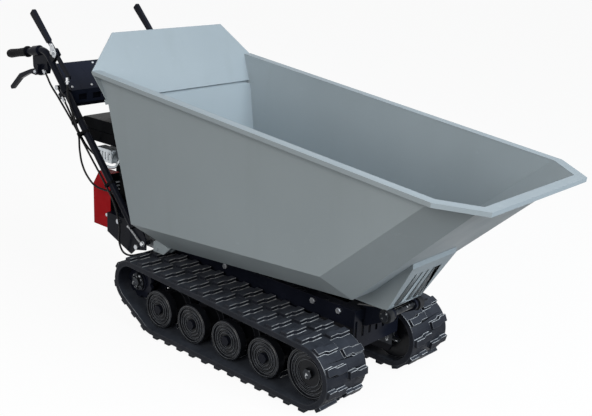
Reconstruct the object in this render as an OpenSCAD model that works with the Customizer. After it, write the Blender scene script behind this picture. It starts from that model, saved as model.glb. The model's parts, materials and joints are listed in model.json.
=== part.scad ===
// Tracked power carrier: a walk-behind mini dumper with a front-tipping skip bucket.
// Millimetres. X points forward, Y to the left, Z up. The tracks stand on z = 0.
// Places are measured from the middle of the tracks, and on_track() moves them into the frame.

/* [Overall] */
// Reach of the grips behind the middle of the tracks
rear_reach = 1230; // [1180:1:1290]
// Reach of the bucket lip ahead of the middle of the tracks
front_reach = 898; // [880:1:930]

/* [Rubber tracks] */
// Width of each belt
track_w = 180; // [170:1:200]
// Distance between the centre lines of the belts
track_gauge = 418; // [410:1:440]
// Thickness of the belt without its lugs
belt_t = 18; // [14:0.5:20]
// Height of the tread lugs
lug_h = 12; // [8:0.5:16]
// Length of a tread lug along the belt
lug_len = 30; // [22:1:34]
// Number of tread lugs in each row
link_count = 35; // [32:1:36]
// Height of the guide lugs inside the belt
guide_h = 18; // [10:1:20]
// Width of the guide lugs
guide_w = 36; // [28:1:40]

/* [Running gear] */
// Distance of the idler ahead of the middle
idler_x = 361; // [350:1:380]
// Radius of the idler, where the belt runs on it
idler_r = 83; // [78:1:86]
// Distance of the sprocket behind the middle
sprocket_back = 434; // [430:1:450]
// Height of the sprocket
sprocket_z = 162; // [158:1:170]
// Radius of the sprocket, where the belt runs on it
sprocket_r = 62; // [58:1:63]
// Number of sprocket teeth
tooth_count = 9; // [8:1:11]
// Distance of the rear roller behind the middle
roller_back = 318; // [312:1:320]
// Distance from roller to roller
roller_pitch = 165; // [150:1:168]
// Radius of the rollers, where the belt runs on them
roller_r = 66; // [60:1:67]
// Width of the rollers
roller_w = 120; // [110:1:126]
// Diameter of the roller and idler axles
axle_d = 25; // [20:1:28]
// Diameter of the drive shafts
shaft_d = 30; // [25:1:34]

/* [Bucket] */
// Thickness of the bucket sheet
sheet_t = 3; // [2.5:0.5:4]
// Half width of the floor
floor_half = 200; // [190:1:210]
// Rear end of the floor behind the middle
floor_back = 347; // [335:1:355]
// Front end of the floor ahead of the middle
floor_front = 455; // [445:1:465]
// Height of the floor at its rear end
floor_rear_z = 295; // [294:1:305]
// Height of the floor at its front end
floor_front_z = 358; // [352:1:364]
// Half width where the lower bevel meets the side
knuckle_half = 300; // [290:1:310]
// Position of that edge at the rear, behind the middle
knuckle_back = 419; // [410:1:430]
// Height of that edge at the rear
knuckle_z = 382; // [375:1:390]
// Position of the seam of the back plate, behind the middle
seam_back = 500; // [490:1:510]
// Height of the seam
seam_z = 782; // [770:1:795]
// Position of the top of the back plate, behind the middle
back_top = 581; // [570:1:595]
// Height of the top of the back plate
back_top_z = 994; // [970:1:1010]
// Half width of the top of the back plate
back_top_half = 244; // [230:1:260]
// Height of the rim at the back plate
rim_rear_z = 880; // [870:1:890]
// Half width over the rim at the back plate
rim_rear_half = 360; // [350:1:370]
// Position of the bend of the rim, ahead of the middle
rim_bend_x = 777; // [765:1:790]
// Half width over the rim at that bend
rim_bend_half = 330; // [320:1:338]
// Half width of the front lip
lip_half = 247; // [235:1:260]
// Height of the front lip
lip_z = 738; // [730:1:746]
// Width of the rim flange
flange_w = 28; // [20:1:32]
// Depth of the turned-down edge of the rim
rim_lip_h = 13; // [10:1:16]

/* [Nose and hinge] */
// Hinge position ahead of the middle
hinge_x = 490; // [484:1:496]
// Hinge height
hinge_z = 283; // [278:1:288]
// Diameter of the hinge pin
pin_d = 20; // [16:1:22]
// Half width of the nose at its lower edge
nose_low_half = 84; // [80:1:90]
// Half width of the nose at its upper edge
nose_top_half = 108; // [102:1:114]
// Position of the upper edge of the nose on the front wall, ahead of the middle
nose_top_x = 590; // [580:1:600]
// Number of slots in the nose
nose_slots = 5; // [4:1:6]

/* [Chassis] */
// Outer half width of the frame rails
rail_half = 108; // [104:1:110]
// Width of a rail
rail_w = 40; // [35:1:44]
// Top of the rails
rail_top = 276; // [272:1:280]
// Height of a rail
rail_h = 58; // [50:1:62]
// Rear end of the rails behind the middle
rail_back = 640; // [630:1:650]
// Face of the front guard ahead of the middle
guard_x = 400; // [396:1:408]
// Top of the engine deck
deck_top = 350; // [348:1:354]
// Half width of the engine deck over its side plates
deck_half = 222; // [216:1:226]
// Thickness of the deck sheet
deck_t = 5; // [4:0.5:6]

/* [Engine and drive] */
// Crankshaft position behind the middle
crank_back = 705; // [700:1:708]
// Height of the crankshaft above the deck
crank_h = 106; // [104:1:110]
// Height of the gearbox input shaft
input_z = 318; // [316:1:319]
// Radius of the engine pulley
engine_pulley_r = 25; // [22:0.5:26]
// Radius of the gearbox pulley
gearbox_pulley_r = 32; // [28:0.5:33]
// Middle of the drive belt, to the right of the middle of the machine
belt_line = 186; // [182:1:188]
// Outer face of the belt guard, to the right
guard_out = 206; // [204:1:210]

/* [Handles and levers] */
// Diameter of the handle tubes
tube_d = 25; // [22:0.5:28]
// Wall of the handle tubes
tube_wall = 2.5; // [2:0.5:3]
// Position of the top bend behind the middle
bend_back = 985; // [975:1:995]
// Height of the top bend
bend_z = 885; // [870:1:900]
// Drop of the grips from the bend to their ends
grip_drop = 45; // [35:1:50]
// Diameter of the grips
grip_d = 33; // [30:0.5:36]
// Length of the grips
grip_len = 128; // [110:1:135]
// Length of the tip and drive levers above their pivots
lever_up = 186; // [170:1:200]

/* [Hidden] */
$fn = 48;

// Colours
bucket_grey = [0.66, 0.68, 0.70];
frame_black = [0.10, 0.10, 0.12];
rubber_black = [0.17, 0.17, 0.20];
bare_steel = [0.72, 0.72, 0.74];
guard_red = [0.66, 0.10, 0.10];
engine_black = [0.13, 0.13, 0.14];
cast_grey = [0.55, 0.56, 0.57];

// Clearances
belt_gap = 0.4;
run_fit = 0.05;
seat_gap = 0.3;
end_gap = 0.5;

track_mid_x = (rear_reach - front_reach) / 2;
track_y = track_gauge / 2;
belt_stack = belt_t + lug_h;

// Plain geometry
function unit(v) = v / norm(v);
function turn(v, a) = [v[0] * cos(a) - v[1] * sin(a), v[0] * sin(a) + v[1] * cos(a)];
function angle_of(v) = atan2(v[1], v[0]);
function sum(list, i = 0) = i < len(list) ? list[i] + sum(list, i + 1) : 0;
function flip_y(p) = [p[0], -p[1], p[2]];

module on_track() translate([track_mid_x, 0, 0]) children();

// Left pieces stand on the +Y side, right ones are their mirror image
module sided(side) {
    if (side > 0) children();
    else mirror([0, 1, 0]) children();
}

// A flat outline in x and z, made t thick from y towards +Y
module across(y, t) translate([0, y + t, 0]) rotate([90, 0, 0]) linear_extrude(t) children();

// A bar along Y that starts at y
module y_bar(x, y, z, l, d, n = 48) translate([x, y, z]) rotate([-90, 0, 0]) cylinder(h = l, d = d, $fn = n);

// A body turned about a line along Y, from an outline in radius and y
module y_turned(x, y, z, outline) translate([x, y, z]) rotate([-90, 0, 0]) rotate_extrude($fn = 72)
    polygon(outline);

// A box from its lower corner to its upper corner
module block(low, high) translate(low) cube(high - low);

// A round bar between two points
module round_bar(p, q, d) {
    v = q - p;
    translate(p) rotate([0, acos(v[2] / norm(v)), atan2(v[1], v[0])]) cylinder(h = norm(v), d = d);
}

// Wheels are [x, z, radius] and a belt goes round them anticlockwise as seen from the right
function grown(w, d) = [w[0], w[1], w[2] + d];
function run_normal(a, b) =
    let (d = [b[0] - a[0], b[1] - a[1]])
    turn(unit(d), -90 - asin((b[2] - a[2]) / norm(d)));
function rim_point(w, n) = [w[0] + n[0] * w[2], w[1] + n[1] * w[2]];

// The area that a tight belt round the wheels encloses
module wrapped(wheels, d = 0) {
    ws = [for (w = wheels) grown(w, d)];
    count = len(ws);
    for (w = ws) translate([w[0], w[1]]) circle(w[2], $fn = 96);
    polygon([for (i = [0 : count - 1])
        let (a = ws[i], b = ws[(i + 1) % count], n = run_normal(a, b))
        each [rim_point(a, n), rim_point(b, n)]]);
}

// Rubber tracks
roller_z = roller_r + belt_stack;
idler_z = idler_r + belt_stack;
sprocket_x = -sprocket_back;
roller_x = [for (i = [0 : 3]) -roller_back + i * roller_pitch];
track_wheels = [[idler_x, idler_z, idler_r], [sprocket_x, sprocket_z, sprocket_r],
    [roller_x[0], roller_z, roller_r]];
mid_line = [for (w = track_wheels) grown(w, belt_t / 2)];
bends = len(mid_line);
normals = [for (i = [0 : bends - 1]) run_normal(mid_line[i], mid_line[(i + 1) % bends])];
run_len = [for (i = [0 : bends - 1])
    norm(rim_point(mid_line[(i + 1) % bends], normals[i]) - rim_point(mid_line[i], normals[i]))];
arc_deg = [for (i = [0 : bends - 1])
    (angle_of(normals[i]) - angle_of(normals[(i + bends - 1) % bends]) + 720) % 360];
arc_len = [for (i = [0 : bends - 1]) arc_deg[i] * PI / 180 * mid_line[i][2]];
belt_len = sum(run_len) + sum(arc_len);
link_pitch = belt_len / link_count;
echo(belt_length = belt_len, link_pitch = link_pitch);

// Place [x, z, outward angle] at a distance along the belt from where it meets the idler
function belt_place(s, i = 0) =
    s <= arc_len[i] ?
        let (n = turn(normals[(i + bends - 1) % bends], s / mid_line[i][2] * 180 / PI))
        [each rim_point(mid_line[i], n), angle_of(n)] :
    s <= arc_len[i] + run_len[i] ?
        [each rim_point(mid_line[i], normals[i]) + turn(normals[i], 90) * (s - arc_len[i]),
            angle_of(normals[i])] :
    belt_place(s - arc_len[i] - run_len[i], i + 1);

// Puts its children at a place on the belt, with X pointing outwards
module on_belt(s) {
    p = belt_place(s);
    translate([p[0], 0, p[1]]) rotate([0, -p[2], 0]) children();
}

lug_sink = 2;
lug_step = 6;
lug_edge = 4;
row_gap = 10;
row_w = (track_w - row_gap) / 2 - lug_edge;

// A lug on a bend is lower, so that its corners stay on the outline of the straight runs
bend_drop = norm([roller_r + belt_stack, lug_len / 2]) - roller_r - belt_stack;
function on_run(s) = len([for (n = normals) if (abs(angle_of(n) - belt_place(s)[2]) < 0.001) n]) > 0;
function lug_tip(s) = on_run(s) ? lug_h : lug_h - bend_drop;

// One tread lug with the step in its flanks
module tread_lug(tip) {
    half = lug_len / 2;
    step_low = row_w * 0.5;
    step_high = row_w * 0.62;
    translate([belt_t / 2 - lug_sink, 0, 0]) rotate([0, 90, 0]) linear_extrude(tip + lug_sink)
        polygon([
            [-half + lug_step, 0], [half, 0], [half, step_low], [half - lug_step, step_high],
            [half - lug_step, row_w], [-half, row_w], [-half, step_high], [-half + lug_step, step_low]
        ]);
}

// Outline of the belt round its wheels, at a distance d from their rims
bend_step = 5;
function belt_outline(d) = [for (i = [0 : bends - 1])
    let (w = grown(track_wheels[i], d), steps = ceil(arc_deg[i] / bend_step),
        n = normals[(i + bends - 1) % bends])
    for (k = [0 : steps]) rim_point(w, turn(n, arc_deg[i] * k / steps))];

module rubber_belt() {
    across(-track_w / 2, track_w) difference() {
        polygon(belt_outline(belt_t));
        polygon(belt_outline(0));
    }
    for (k = [0 : link_count - 1]) {
        on_belt(k * link_pitch) translate([0, row_gap / 2, 0]) tread_lug(lug_tip(k * link_pitch));
        on_belt((k + 0.5) * link_pitch)
            translate([0, -row_gap / 2 - row_w, 0]) tread_lug(lug_tip((k + 0.5) * link_pitch));
        on_belt((k + 0.5) * link_pitch)
            translate([-belt_t / 2 - guide_h, -guide_w / 2, -lug_step])
                cube([guide_h + lug_sink, guide_w, 2 * lug_step]);
    }
}

module rubber_track(side) color(rubber_black) on_track() sided(side) translate([0, track_y, 0]) rubber_belt();
module track_left() rubber_track(1);
module track_right() rubber_track(-1);

// Rollers and idlers are spools whose groove lets the guide lugs pass
bore_r = axle_d / 2 + run_fit;
groove_half = guide_w / 2 + 12;
rim_edge = 3;
rim_w = 9;
dish = 8;
ring_count = 3;
ring_w = 4;
ring_pitch = 11;
ring_h = 5;
ring_taper = 1;

// Outline of one raised ring on the dished face, from its outer radius inwards
function face_ring(r, y) = [
    [r, y], [r - ring_taper, y + ring_h], [r - ring_w + ring_taper, y + ring_h], [r - ring_w, y]
];

module spool(x, z, r, neck_r) {
    half = roller_w / 2;
    face = half - dish;
    dish_r = r - rim_w - rim_edge;
    y_turned(x, track_y, z, [
        [bore_r, -half], [r - rim_edge, -half], [r, -half + rim_edge], [r, -groove_half],
        [neck_r, -groove_half],
        [neck_r, groove_half], [r, groove_half], [r, half - rim_edge], [r - rim_edge, half],
        [r - rim_w, half], [dish_r, face],
        for (i = [0 : ring_count - 1]) each face_ring(dish_r - rim_edge - i * ring_pitch, face),
        [bore_r, face]
    ]);
}

module roller(side, i) color(rubber_black) on_track() sided(side)
    spool(roller_x[i], roller_z, roller_r - belt_gap, roller_r - guide_h - 6);
module roller_left_1() roller(1, 0);
module roller_left_2() roller(1, 1);
module roller_left_3() roller(1, 2);
module roller_left_4() roller(1, 3);
module roller_right_1() roller(-1, 0);
module roller_right_2() roller(-1, 1);
module roller_right_3() roller(-1, 2);
module roller_right_4() roller(-1, 3);

module idler(side) color(rubber_black) on_track() sided(side)
    spool(idler_x, idler_z, idler_r - belt_gap, idler_r - guide_h - 6);
module idler_left() idler(1);
module idler_right() idler(-1);

// Track frames carry the axles inside the belts
frame_t = 12;
frame_gap = 12;
frame_y = track_y - roller_w / 2 - frame_gap - frame_t;
axle_end = track_y + roller_w / 2 - dish + end_gap;
nut_h = 10;
nut_d = 34;
collar_d = axle_d + 12;
cross_x = [-230, 120];
cross_d = 60;
cross_z = sprocket_z - 12;
tension_travel = 40;

module track_frame(side) color(frame_black) on_track() sided(side) difference() {
    across(frame_y, frame_t) polygon([
        [sprocket_x - 34, sprocket_z + 4], [sprocket_x - 10, sprocket_z + 36], [idler_x, idler_z + 58],
        [idler_x + 32, idler_z], [idler_x, idler_z - 54], [roller_x[0], roller_z - 44]
    ]);
    for (x = roller_x) y_bar(x, frame_y - 1, roller_z, frame_t + 2, 2 * bore_r);
    y_bar(sprocket_x, frame_y - 1, sprocket_z, frame_t + 2, shaft_d + 2 * run_fit);
    across(frame_y - 1, frame_t + 2)
        wrapped([[idler_x + 2, idler_z, bore_r], [idler_x - tension_travel, idler_z, bore_r]]);
}
module track_frame_left() track_frame(1);
module track_frame_right() track_frame(-1);

// An axle with its collar and its end nut, from the inner face of the track frame
module wheel_axle(x, z) {
    y_bar(x, frame_y - 4, z, axle_end - frame_y + 4 + nut_h / 2, axle_d);
    y_bar(x, frame_y + frame_t, z, frame_gap - end_gap, collar_d);
    y_bar(x, axle_end, z, nut_h, nut_d, 6);
}

module roller_axles() color(bare_steel) on_track()
    for (side = [1, -1]) sided(side) for (x = roller_x) wheel_axle(x, roller_z);

// The idler axle sits on a block that the tension rod pulls forward
yoke_t = 14;
yoke_h = 44;
rod_d = 14;
rod_reach = 46;
module idler_tensioners() color(bare_steel) on_track() for (side = [1, -1]) sided(side) {
    wheel_axle(idler_x, idler_z);
    block([idler_x - 50, frame_y - yoke_t, idler_z - yoke_h / 2],
        [idler_x + 22, frame_y, idler_z + yoke_h / 2]);
    round_bar([idler_x, frame_y - yoke_t / 2, idler_z], [idler_x + rod_reach, frame_y - yoke_t / 2, idler_z],
        rod_d);
}

// Sprockets: two toothed rims on either side of the guide lugs
tooth_gap_r = 10;
sprocket_rim_t = 12;
sprocket_hub_r = sprocket_r - guide_h - 8;
hub_half = groove_half + sprocket_rim_t + 6;

module toothed_rim(r) difference() {
    circle(r, $fn = 96);
    for (i = [0 : tooth_count - 1]) rotate(i * 360 / tooth_count) translate([r + 2, 0]) circle(tooth_gap_r);
}

module sprocket(side) color(frame_black) on_track() sided(side) difference() {
    union() {
        for (y = [-groove_half - sprocket_rim_t, groove_half])
            translate([sprocket_x, 0, sprocket_z]) across(track_y + y, sprocket_rim_t)
                toothed_rim(sprocket_r - belt_gap);
        y_bar(sprocket_x, track_y - hub_half, sprocket_z, 2 * hub_half, 2 * sprocket_hub_r);
    }
    y_bar(sprocket_x, track_y - hub_half - 1, sprocket_z, 2 * hub_half + 2, shaft_d + 2 * run_fit);
}
module sprocket_left() sprocket(1);
module sprocket_right() sprocket(-1);

// Drive shafts run from the gearbox to the hub nut, with a ring of clamp bolts on the hub
gearbox_half = 58;
shaft_in = 22;
hub_bolts = 6;
module drive_shaft(side) color(bare_steel) on_track() sided(side) {
    shaft_from = gearbox_half - shaft_in;
    hub_face = track_y + hub_half;
    y_bar(sprocket_x, shaft_from, sprocket_z, hub_face - shaft_from + 8, shaft_d);
    y_bar(sprocket_x, hub_face, sprocket_z, 6, shaft_d + 30);
    y_bar(sprocket_x, hub_face + 6, sprocket_z, 9, nut_d, 6);
    for (i = [0 : hub_bolts - 1])
        translate([sprocket_x, 0, sprocket_z]) rotate([0, i * 360 / hub_bolts, 0])
            y_bar(0, hub_face + 6, shaft_d / 2 + 9.5, 4, 9, 6);
}
module drive_shaft_left() drive_shaft(1);
module drive_shaft_right() drive_shaft(-1);

// Bucket walls are planes [normal, distance] that face inwards
function plane(a, b, c, inside) =
    let (n = unit(cross(b - a, c - a)), m = n * (inside - a) > 0 ? n : -n)
    [m, m * a];
function moved_in(p, t) = [p[0], p[1] + t];
function meet(p, q, r) =
    let (qr = cross(q[0], r[0]), rp = cross(r[0], p[0]), pq = cross(p[0], q[0]))
    (qr * p[1] + rp * q[1] + pq * r[1]) / (p[0] * qr);
function mirrored(p) = [flip_y(p[0]), p[1]];

lip_x = front_reach;
rim_slope = (rim_rear_z - lip_z) / (seam_back + lip_x);
rim_angle = atan(rim_slope);
function rim_height(x) = rim_rear_z - rim_slope * (x + seam_back);
back_slope = (back_top - seam_back) / (back_top_z - seam_z);
rim_rear_x = -seam_back - back_slope * (rim_rear_z - seam_z);

// Corners of the rim from the back plate round to the middle of the lip, moved in by d
function inset_line(p, q, d) = let (n = turn(unit(q - p), -90)) [p - n * d, q - p];
function line_meet(a, b) =
    let (k = (b[0] - a[0])[0] * b[1][1] - (b[0] - a[0])[1] * b[1][0],
        m = a[1][0] * b[1][1] - a[1][1] * b[1][0])
    a[0] + a[1] * (k / m);
rim_corners = [[rim_rear_x, -rim_rear_half], [rim_bend_x, -rim_bend_half], [lip_x, -lip_half]];
function rim_inset(d) =
    let (
        side = inset_line(rim_corners[0], rim_corners[1], d),
        corner = inset_line(rim_corners[1], rim_corners[2], d),
        front = [[lip_x - d, 0], [0, 1]],
        rear = [[rim_rear_x, 0], [0, 1]]
    )
    [line_meet(side, rear), line_meet(side, corner), line_meet(corner, front)];
function on_rim(p) = [p[0], p[1], rim_height(p[0])];

inside = [0, 0, (floor_front_z + rim_rear_z) / 2];
wall_rim = [for (p = rim_inset(flange_w)) on_rim(p)];
floor_rear = [-floor_back, -floor_half, floor_rear_z];
floor_tip = [floor_front, -floor_half, floor_front_z];
knuckle = [-knuckle_back, -knuckle_half, knuckle_z];
y_step = [0, 100, 0];
side_plane = plane(knuckle, wall_rim[0], wall_rim[1], inside);
bevel_plane = plane(floor_rear, floor_tip, knuckle, inside);
corner_plane = plane(wall_rim[1], wall_rim[2], floor_tip, inside);
floor_plane = plane(floor_rear, floor_tip, flip_y(floor_rear), inside);
front_plane = plane(floor_tip, wall_rim[2], flip_y(floor_tip), inside);
rear_bevel_plane = plane(floor_rear, knuckle, knuckle + y_step, inside);
rear_plane = plane(knuckle, [-seam_back, 0, seam_z], knuckle + y_step, inside);
back_plane = plane([-seam_back, 0, seam_z], [-back_top, 0, back_top_z], [-back_top, 100, back_top_z], inside);
rim_plane = plane(on_rim([0, 0]), on_rim([100, 0]), on_rim([0, 100]), inside);

// The eight corners of one side of a solid that fills the bucket, with its walls moved in by t
function bucket_corners(t, edge, back) =
    let (
        side = moved_in(side_plane, t), bevel = moved_in(bevel_plane, t), corner = moved_in(corner_plane, t),
        floor_p = moved_in(floor_plane, t), front = moved_in(front_plane, t),
        rear_bevel = moved_in(rear_bevel_plane, t), rear = moved_in(rear_plane, t)
    )
    [
        meet(floor_p, bevel, rear_bevel), meet(floor_p, bevel, front), meet(side, rear, rear_bevel),
        meet(side, bevel, corner), meet(side, rear, back), meet(side, back, edge),
        meet(side, corner, edge), meet(corner, front, edge)
    ];

// Faces of that solid: corner k of the right side is k, of the left side k + 8.
// Each side starts at its seam
bucket_faces = [
    [0, 1, 9, 8], [0, 2, 3, 1], [8, 9, 11, 10], [4, 5, 6, 3, 2], [12, 10, 11, 14, 13],
    [3, 6, 7, 1], [11, 9, 15, 14], [1, 7, 15, 9], [0, 8, 10, 2], [2, 10, 12, 4],
    [6, 5, 13, 14, 15, 7], [5, 4, 12, 13]
];
function both_sides(list) = concat(list, [for (p = list) flip_y(p)]);
function reversed(list) = [for (i = [len(list) - 1 : -1 : 0]) list[i]];

module bucket_solid(t, edge, back)
    polyhedron(points = both_sides(bucket_corners(t, edge, back)), faces = bucket_faces);

// The rear wall ends at the seam, and above it the rear is open for the back plate
module folded_shell() difference() {
    bucket_solid(0, moved_in(rim_plane, sheet_t / 2), back_plane);
    bucket_solid(sheet_t, moved_in(rim_plane, -flange_w), moved_in(back_plane, sheet_t));
    intersection() {
        bucket_solid(sheet_t, moved_in(rim_plane, -flange_w), moved_in(back_plane, -flange_w));
        on_back_plate() translate([-rim_rear_half, 0, -2 * sheet_t])
            cube([2 * rim_rear_half, back_len, 2 * sheet_t + flange_w]);
    }
}

// A band in the plane of the rim between two insets, from its upper face down
module rim_band(outer, inner, depth) {
    right_out = rim_inset(outer);
    right_in = rim_inset(inner);
    left_out = [for (p = right_out) [p[0], -p[1]]];
    left_in = [for (p = right_in) [p[0], -p[1]]];
    outline = concat(right_out, reversed(left_out), left_in, reversed(right_in));
    translate([rim_rear_x, 0, rim_height(rim_rear_x)]) rotate([0, rim_angle, 0]) translate([0, 0, -depth])
        linear_extrude(depth) polygon([for (p = outline) [(p[0] - rim_rear_x) / cos(rim_angle), p[1]]]);
}

module bucket_shell() color(bucket_grey) on_track() {
    folded_shell();
    difference() {
        union() {
            rim_band(0, flange_w + 1.2 * sheet_t, sheet_t);
            rim_band(0, sheet_t, rim_lip_h);
        }
        on_back_plate() translate([-rim_rear_half - sheet_t, 0, 0])
            cube([2 * (rim_rear_half + sheet_t), back_len, flange_w]);
    }
}

// The back plate leans back from the seam and closes the rear above it
back_angle = atan(back_slope);
back_len = (back_top_z - seam_z) / cos(back_angle);
rim_up = (rim_rear_z - seam_z) / cos(back_angle);
module on_back_plate() translate([-seam_back, 0, seam_z]) rotate([0, -back_angle, 0]) rotate([90, 0, -90])
    children();

// Its foot is folded back into a trough that bridges the open joint above the rear wall
seam_groove = 10;
seam_depth = 14;
seam_half = -bucket_corners(0, rim_plane, back_plane)[4][1];
foot_half = seam_half + (rim_rear_half - seam_half) * seam_groove / rim_up;
module seam_trough() difference() {
    union() {
        translate([-seam_half, 0, 0]) cube([2 * seam_half, seam_groove + sheet_t, seam_depth + sheet_t]);
        translate([-seam_half, -sheet_t, sheet_t / 2])
            cube([2 * seam_half, 2 * sheet_t, seam_depth + sheet_t / 2]);
    }
    translate([sheet_t - seam_half, 0, -sheet_t])
        cube([2 * (seam_half - sheet_t), seam_groove, seam_depth + sheet_t]);
}
module bucket_back_plate() color(bucket_grey) on_track() on_back_plate() {
    linear_extrude(sheet_t) polygon([
        [-foot_half, seam_groove], [foot_half, seam_groove], [rim_rear_half, rim_up],
        [back_top_half, back_len],
        [-back_top_half, back_len], [-rim_rear_half, rim_up]
    ]);
    seam_trough();
}

// Slotted nose under the front wall, with the hinge barrels on its lower plate
front_slope = (rim_height(lip_x - flange_w) - floor_front_z) / (lip_x - flange_w - floor_front);
function front_height(x) = floor_front_z + front_slope * (x - floor_front);
floor_slope = (floor_front_z - floor_rear_z) / (floor_front + floor_back);
function floor_height(x) = floor_front_z + floor_slope * (x - floor_front);
nose_t = 4;
nose_low_z = hinge_z + pin_d / 2 + 10;
nose_low_x = hinge_x + 4;
nose_rear_x = nose_low_x - 128;
barrel_d = 2 * (nose_low_z - hinge_z) + 4;
barrel_w = 16;
ear_y = nose_low_half - nose_t - barrel_w - 14;
ear_t = 10;
nose_slot_w = 9;
nose_top_z = front_height(nose_top_x);
nose_strip = 16;
panel_top_z = nose_top_z - nose_strip;
nose_len = norm([nose_top_x - nose_low_x, panel_top_z - nose_low_z]);
nose_angle = atan2(panel_top_z - nose_low_z, nose_top_x - nose_low_x);
nose_flare = atan((nose_top_half - nose_low_half) / (nose_top_z - nose_low_z));
plate_inset = 1;

module on_nose() translate([nose_low_x, 0, nose_low_z]) rotate([0, -nose_angle, 0]) children();

module nose_panel() on_nose() difference() {
    linear_extrude(nose_t) polygon([
        [0, -nose_low_half], [nose_len, -nose_top_half], [nose_len, nose_top_half], [0, nose_low_half]
    ]);
    slot_pitch = 2 * nose_low_half / (nose_slots + 0.6);
    for (i = [0 : nose_slots - 1])
        translate([nose_len * 0.06, (i - (nose_slots - 1) / 2) * slot_pitch - nose_slot_w / 2, -1])
            cube([nose_len * 0.74, nose_slot_w, nose_t + 2]);
}

// A side plate that leans out with the panel on its way up
module nose_side() {
    front_edge = nose_top_x - plate_inset;
    outline = [
        [nose_rear_x, nose_low_z], [nose_low_x - plate_inset, nose_low_z], [front_edge, panel_top_z],
        [front_edge, nose_top_z], [floor_front, floor_front_z], [nose_rear_x, floor_height(nose_rear_x)]
    ];
    translate([0, nose_low_half - plate_inset, nose_low_z]) rotate([-nose_flare, 0, 0])
        across(-nose_t, nose_t)
        polygon([for (p = outline) [p[0], (p[1] - nose_low_z) / cos(nose_flare)]]);
}

module bucket_nose() color(bucket_grey) on_track() difference() {
    union() {
        nose_panel();
        for (side = [1, -1]) sided(side) {
            nose_side();
            y_bar(hinge_x, nose_low_half - nose_t - barrel_w, hinge_z, barrel_w + nose_t, barrel_d);
        }
        block([nose_rear_x, -nose_low_half, nose_low_z], [nose_low_x, nose_low_half, nose_low_z + nose_t]);
        block([nose_top_x - nose_t, -nose_top_half, panel_top_z],
            [nose_top_x, nose_top_half, nose_top_z + nose_t]);
    }
    y_bar(hinge_x, -nose_low_half - 1, hinge_z, 2 * nose_low_half + 2, pin_d + 2 * run_fit);
    below_wall();
}

// Everything inside the bucket's outer skin, so that the nose stops at the wall
module below_wall() across(-floor_half, 2 * floor_half) polygon([
    [-floor_back, floor_height(-floor_back)], [floor_front, floor_front_z],
    [lip_x, front_height(lip_x)], [-floor_back, front_height(lip_x)]
]);

// Chassis
rail_in = rail_half - rail_w;
rail_low = rail_top - rail_h;
guard_t = 4;
rail_front = guard_x - guard_t;
ear_r = nose_low_z - hinge_z - 2;
post_x = [-520, -480];

module chassis_frame() color(frame_black) on_track() difference() {
    union() {
        for (side = [1, -1]) sided(side) {
            block([-rail_back, rail_in, rail_low], [rail_front, rail_half, rail_top]);
            block([-rail_back, rail_in, rail_top], [-rail_back + rail_w, rail_half, deck_top - deck_t]);
            across(ear_y, ear_t) hinge_ear();
            for (x = cross_x) block([x - 40, rail_in + 8, cross_z], [x + 40, rail_half - 8, rail_low]);
        }
        block([post_x[0], -rail_half, rail_top], [post_x[1], rail_half, deck_top - deck_t]);
        block([rail_front - 60, -rail_in, rail_low], [rail_front, rail_in, rail_top]);
        for (x = cross_x) y_bar(x, -frame_y, cross_z, 2 * frame_y, cross_d);
    }
    y_bar(hinge_x, -nose_low_half, hinge_z, 2 * nose_low_half, pin_d + 2 * run_fit);
}

module hinge_ear() {
    translate([hinge_x, hinge_z]) circle(ear_r);
    polygon([[rail_front - 30, rail_low], [rail_front - 30, rail_top], [hinge_x - 4, hinge_z + ear_r - 2],
        [hinge_x + 8, hinge_z - ear_r + 2], [rail_front + 10, rail_low]]);
}

// Black guard across the front, with a row of upright slots
guard_half = rail_half + 4;
guard_low = rail_low - 72;
guard_slots = 7;
guard_slot_pitch = 34;
module front_guard() color(frame_black) on_track() difference() {
    block([rail_front, -guard_half, guard_low], [guard_x, guard_half, rail_top]);
    for (i = [0 : guard_slots - 1])
        translate([rail_front - 1, (i - (guard_slots - 1) / 2) * guard_slot_pitch - 5, guard_low + 40])
            cube([guard_t + 2, 10, rail_low - guard_low - 16]);
    for (side = [1, -1]) sided(side)
        block([rail_front - 1, ear_y - seat_gap, rail_low - 1],
            [guard_x + 1, ear_y + ear_t + seat_gap, rail_top + 1]);
}

// Rubber pads that the bucket floor rests on
pad_x = [-300, 60];
pad_half = 22;
module rest_pads() color(rubber_black) on_track() for (side = [1, -1]) sided(side) for (x = pad_x)
    across(rail_in + 4, rail_w - 8) polygon([
        [x - pad_half, rail_top], [x + pad_half, rail_top],
        [x + pad_half, floor_height(x + pad_half) - seat_gap],
        [x - pad_half, floor_height(x - pad_half) - seat_gap]
    ]);

pin_head = 6;
module hinge_pin() color(bare_steel) on_track() {
    y_bar(hinge_x, -nose_low_half - end_gap, hinge_z, 2 * nose_low_half + 2 * end_gap, pin_d);
    for (side = [1, -1]) sided(side) y_bar(hinge_x, nose_low_half + end_gap, hinge_z, pin_head, pin_d + 10);
}

// Engine deck with deep side plates
deck_back = 790;
deck_front = 470;
deck_low = 229;
deck_lip = 32;
module engine_deck() color(frame_black) on_track() {
    difference() {
        union() {
            block([-deck_back, -deck_half, deck_top - deck_t], [-deck_front, deck_half, deck_top]);
            for (side = [1, -1]) sided(side) across(deck_half - deck_t, deck_t) deck_side();
        }
        block([-deck_back - 1, -deck_half - 1, deck_low],
            [crank_x + guard_half_x + seat_gap, -guard_in + seat_gap, deck_top + 1]);
        translate([tip_route[14][0], tip_route[14][1], deck_top - deck_t - 1])
            cylinder(h = deck_t + 2, d = cable_d + 4);
    }
    y_bar(hook_pivot[0], -deck_half, hook_pivot[1], deck_half + latch_y + hook_t / 2 + 4, hook_pin_d);
}

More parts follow.
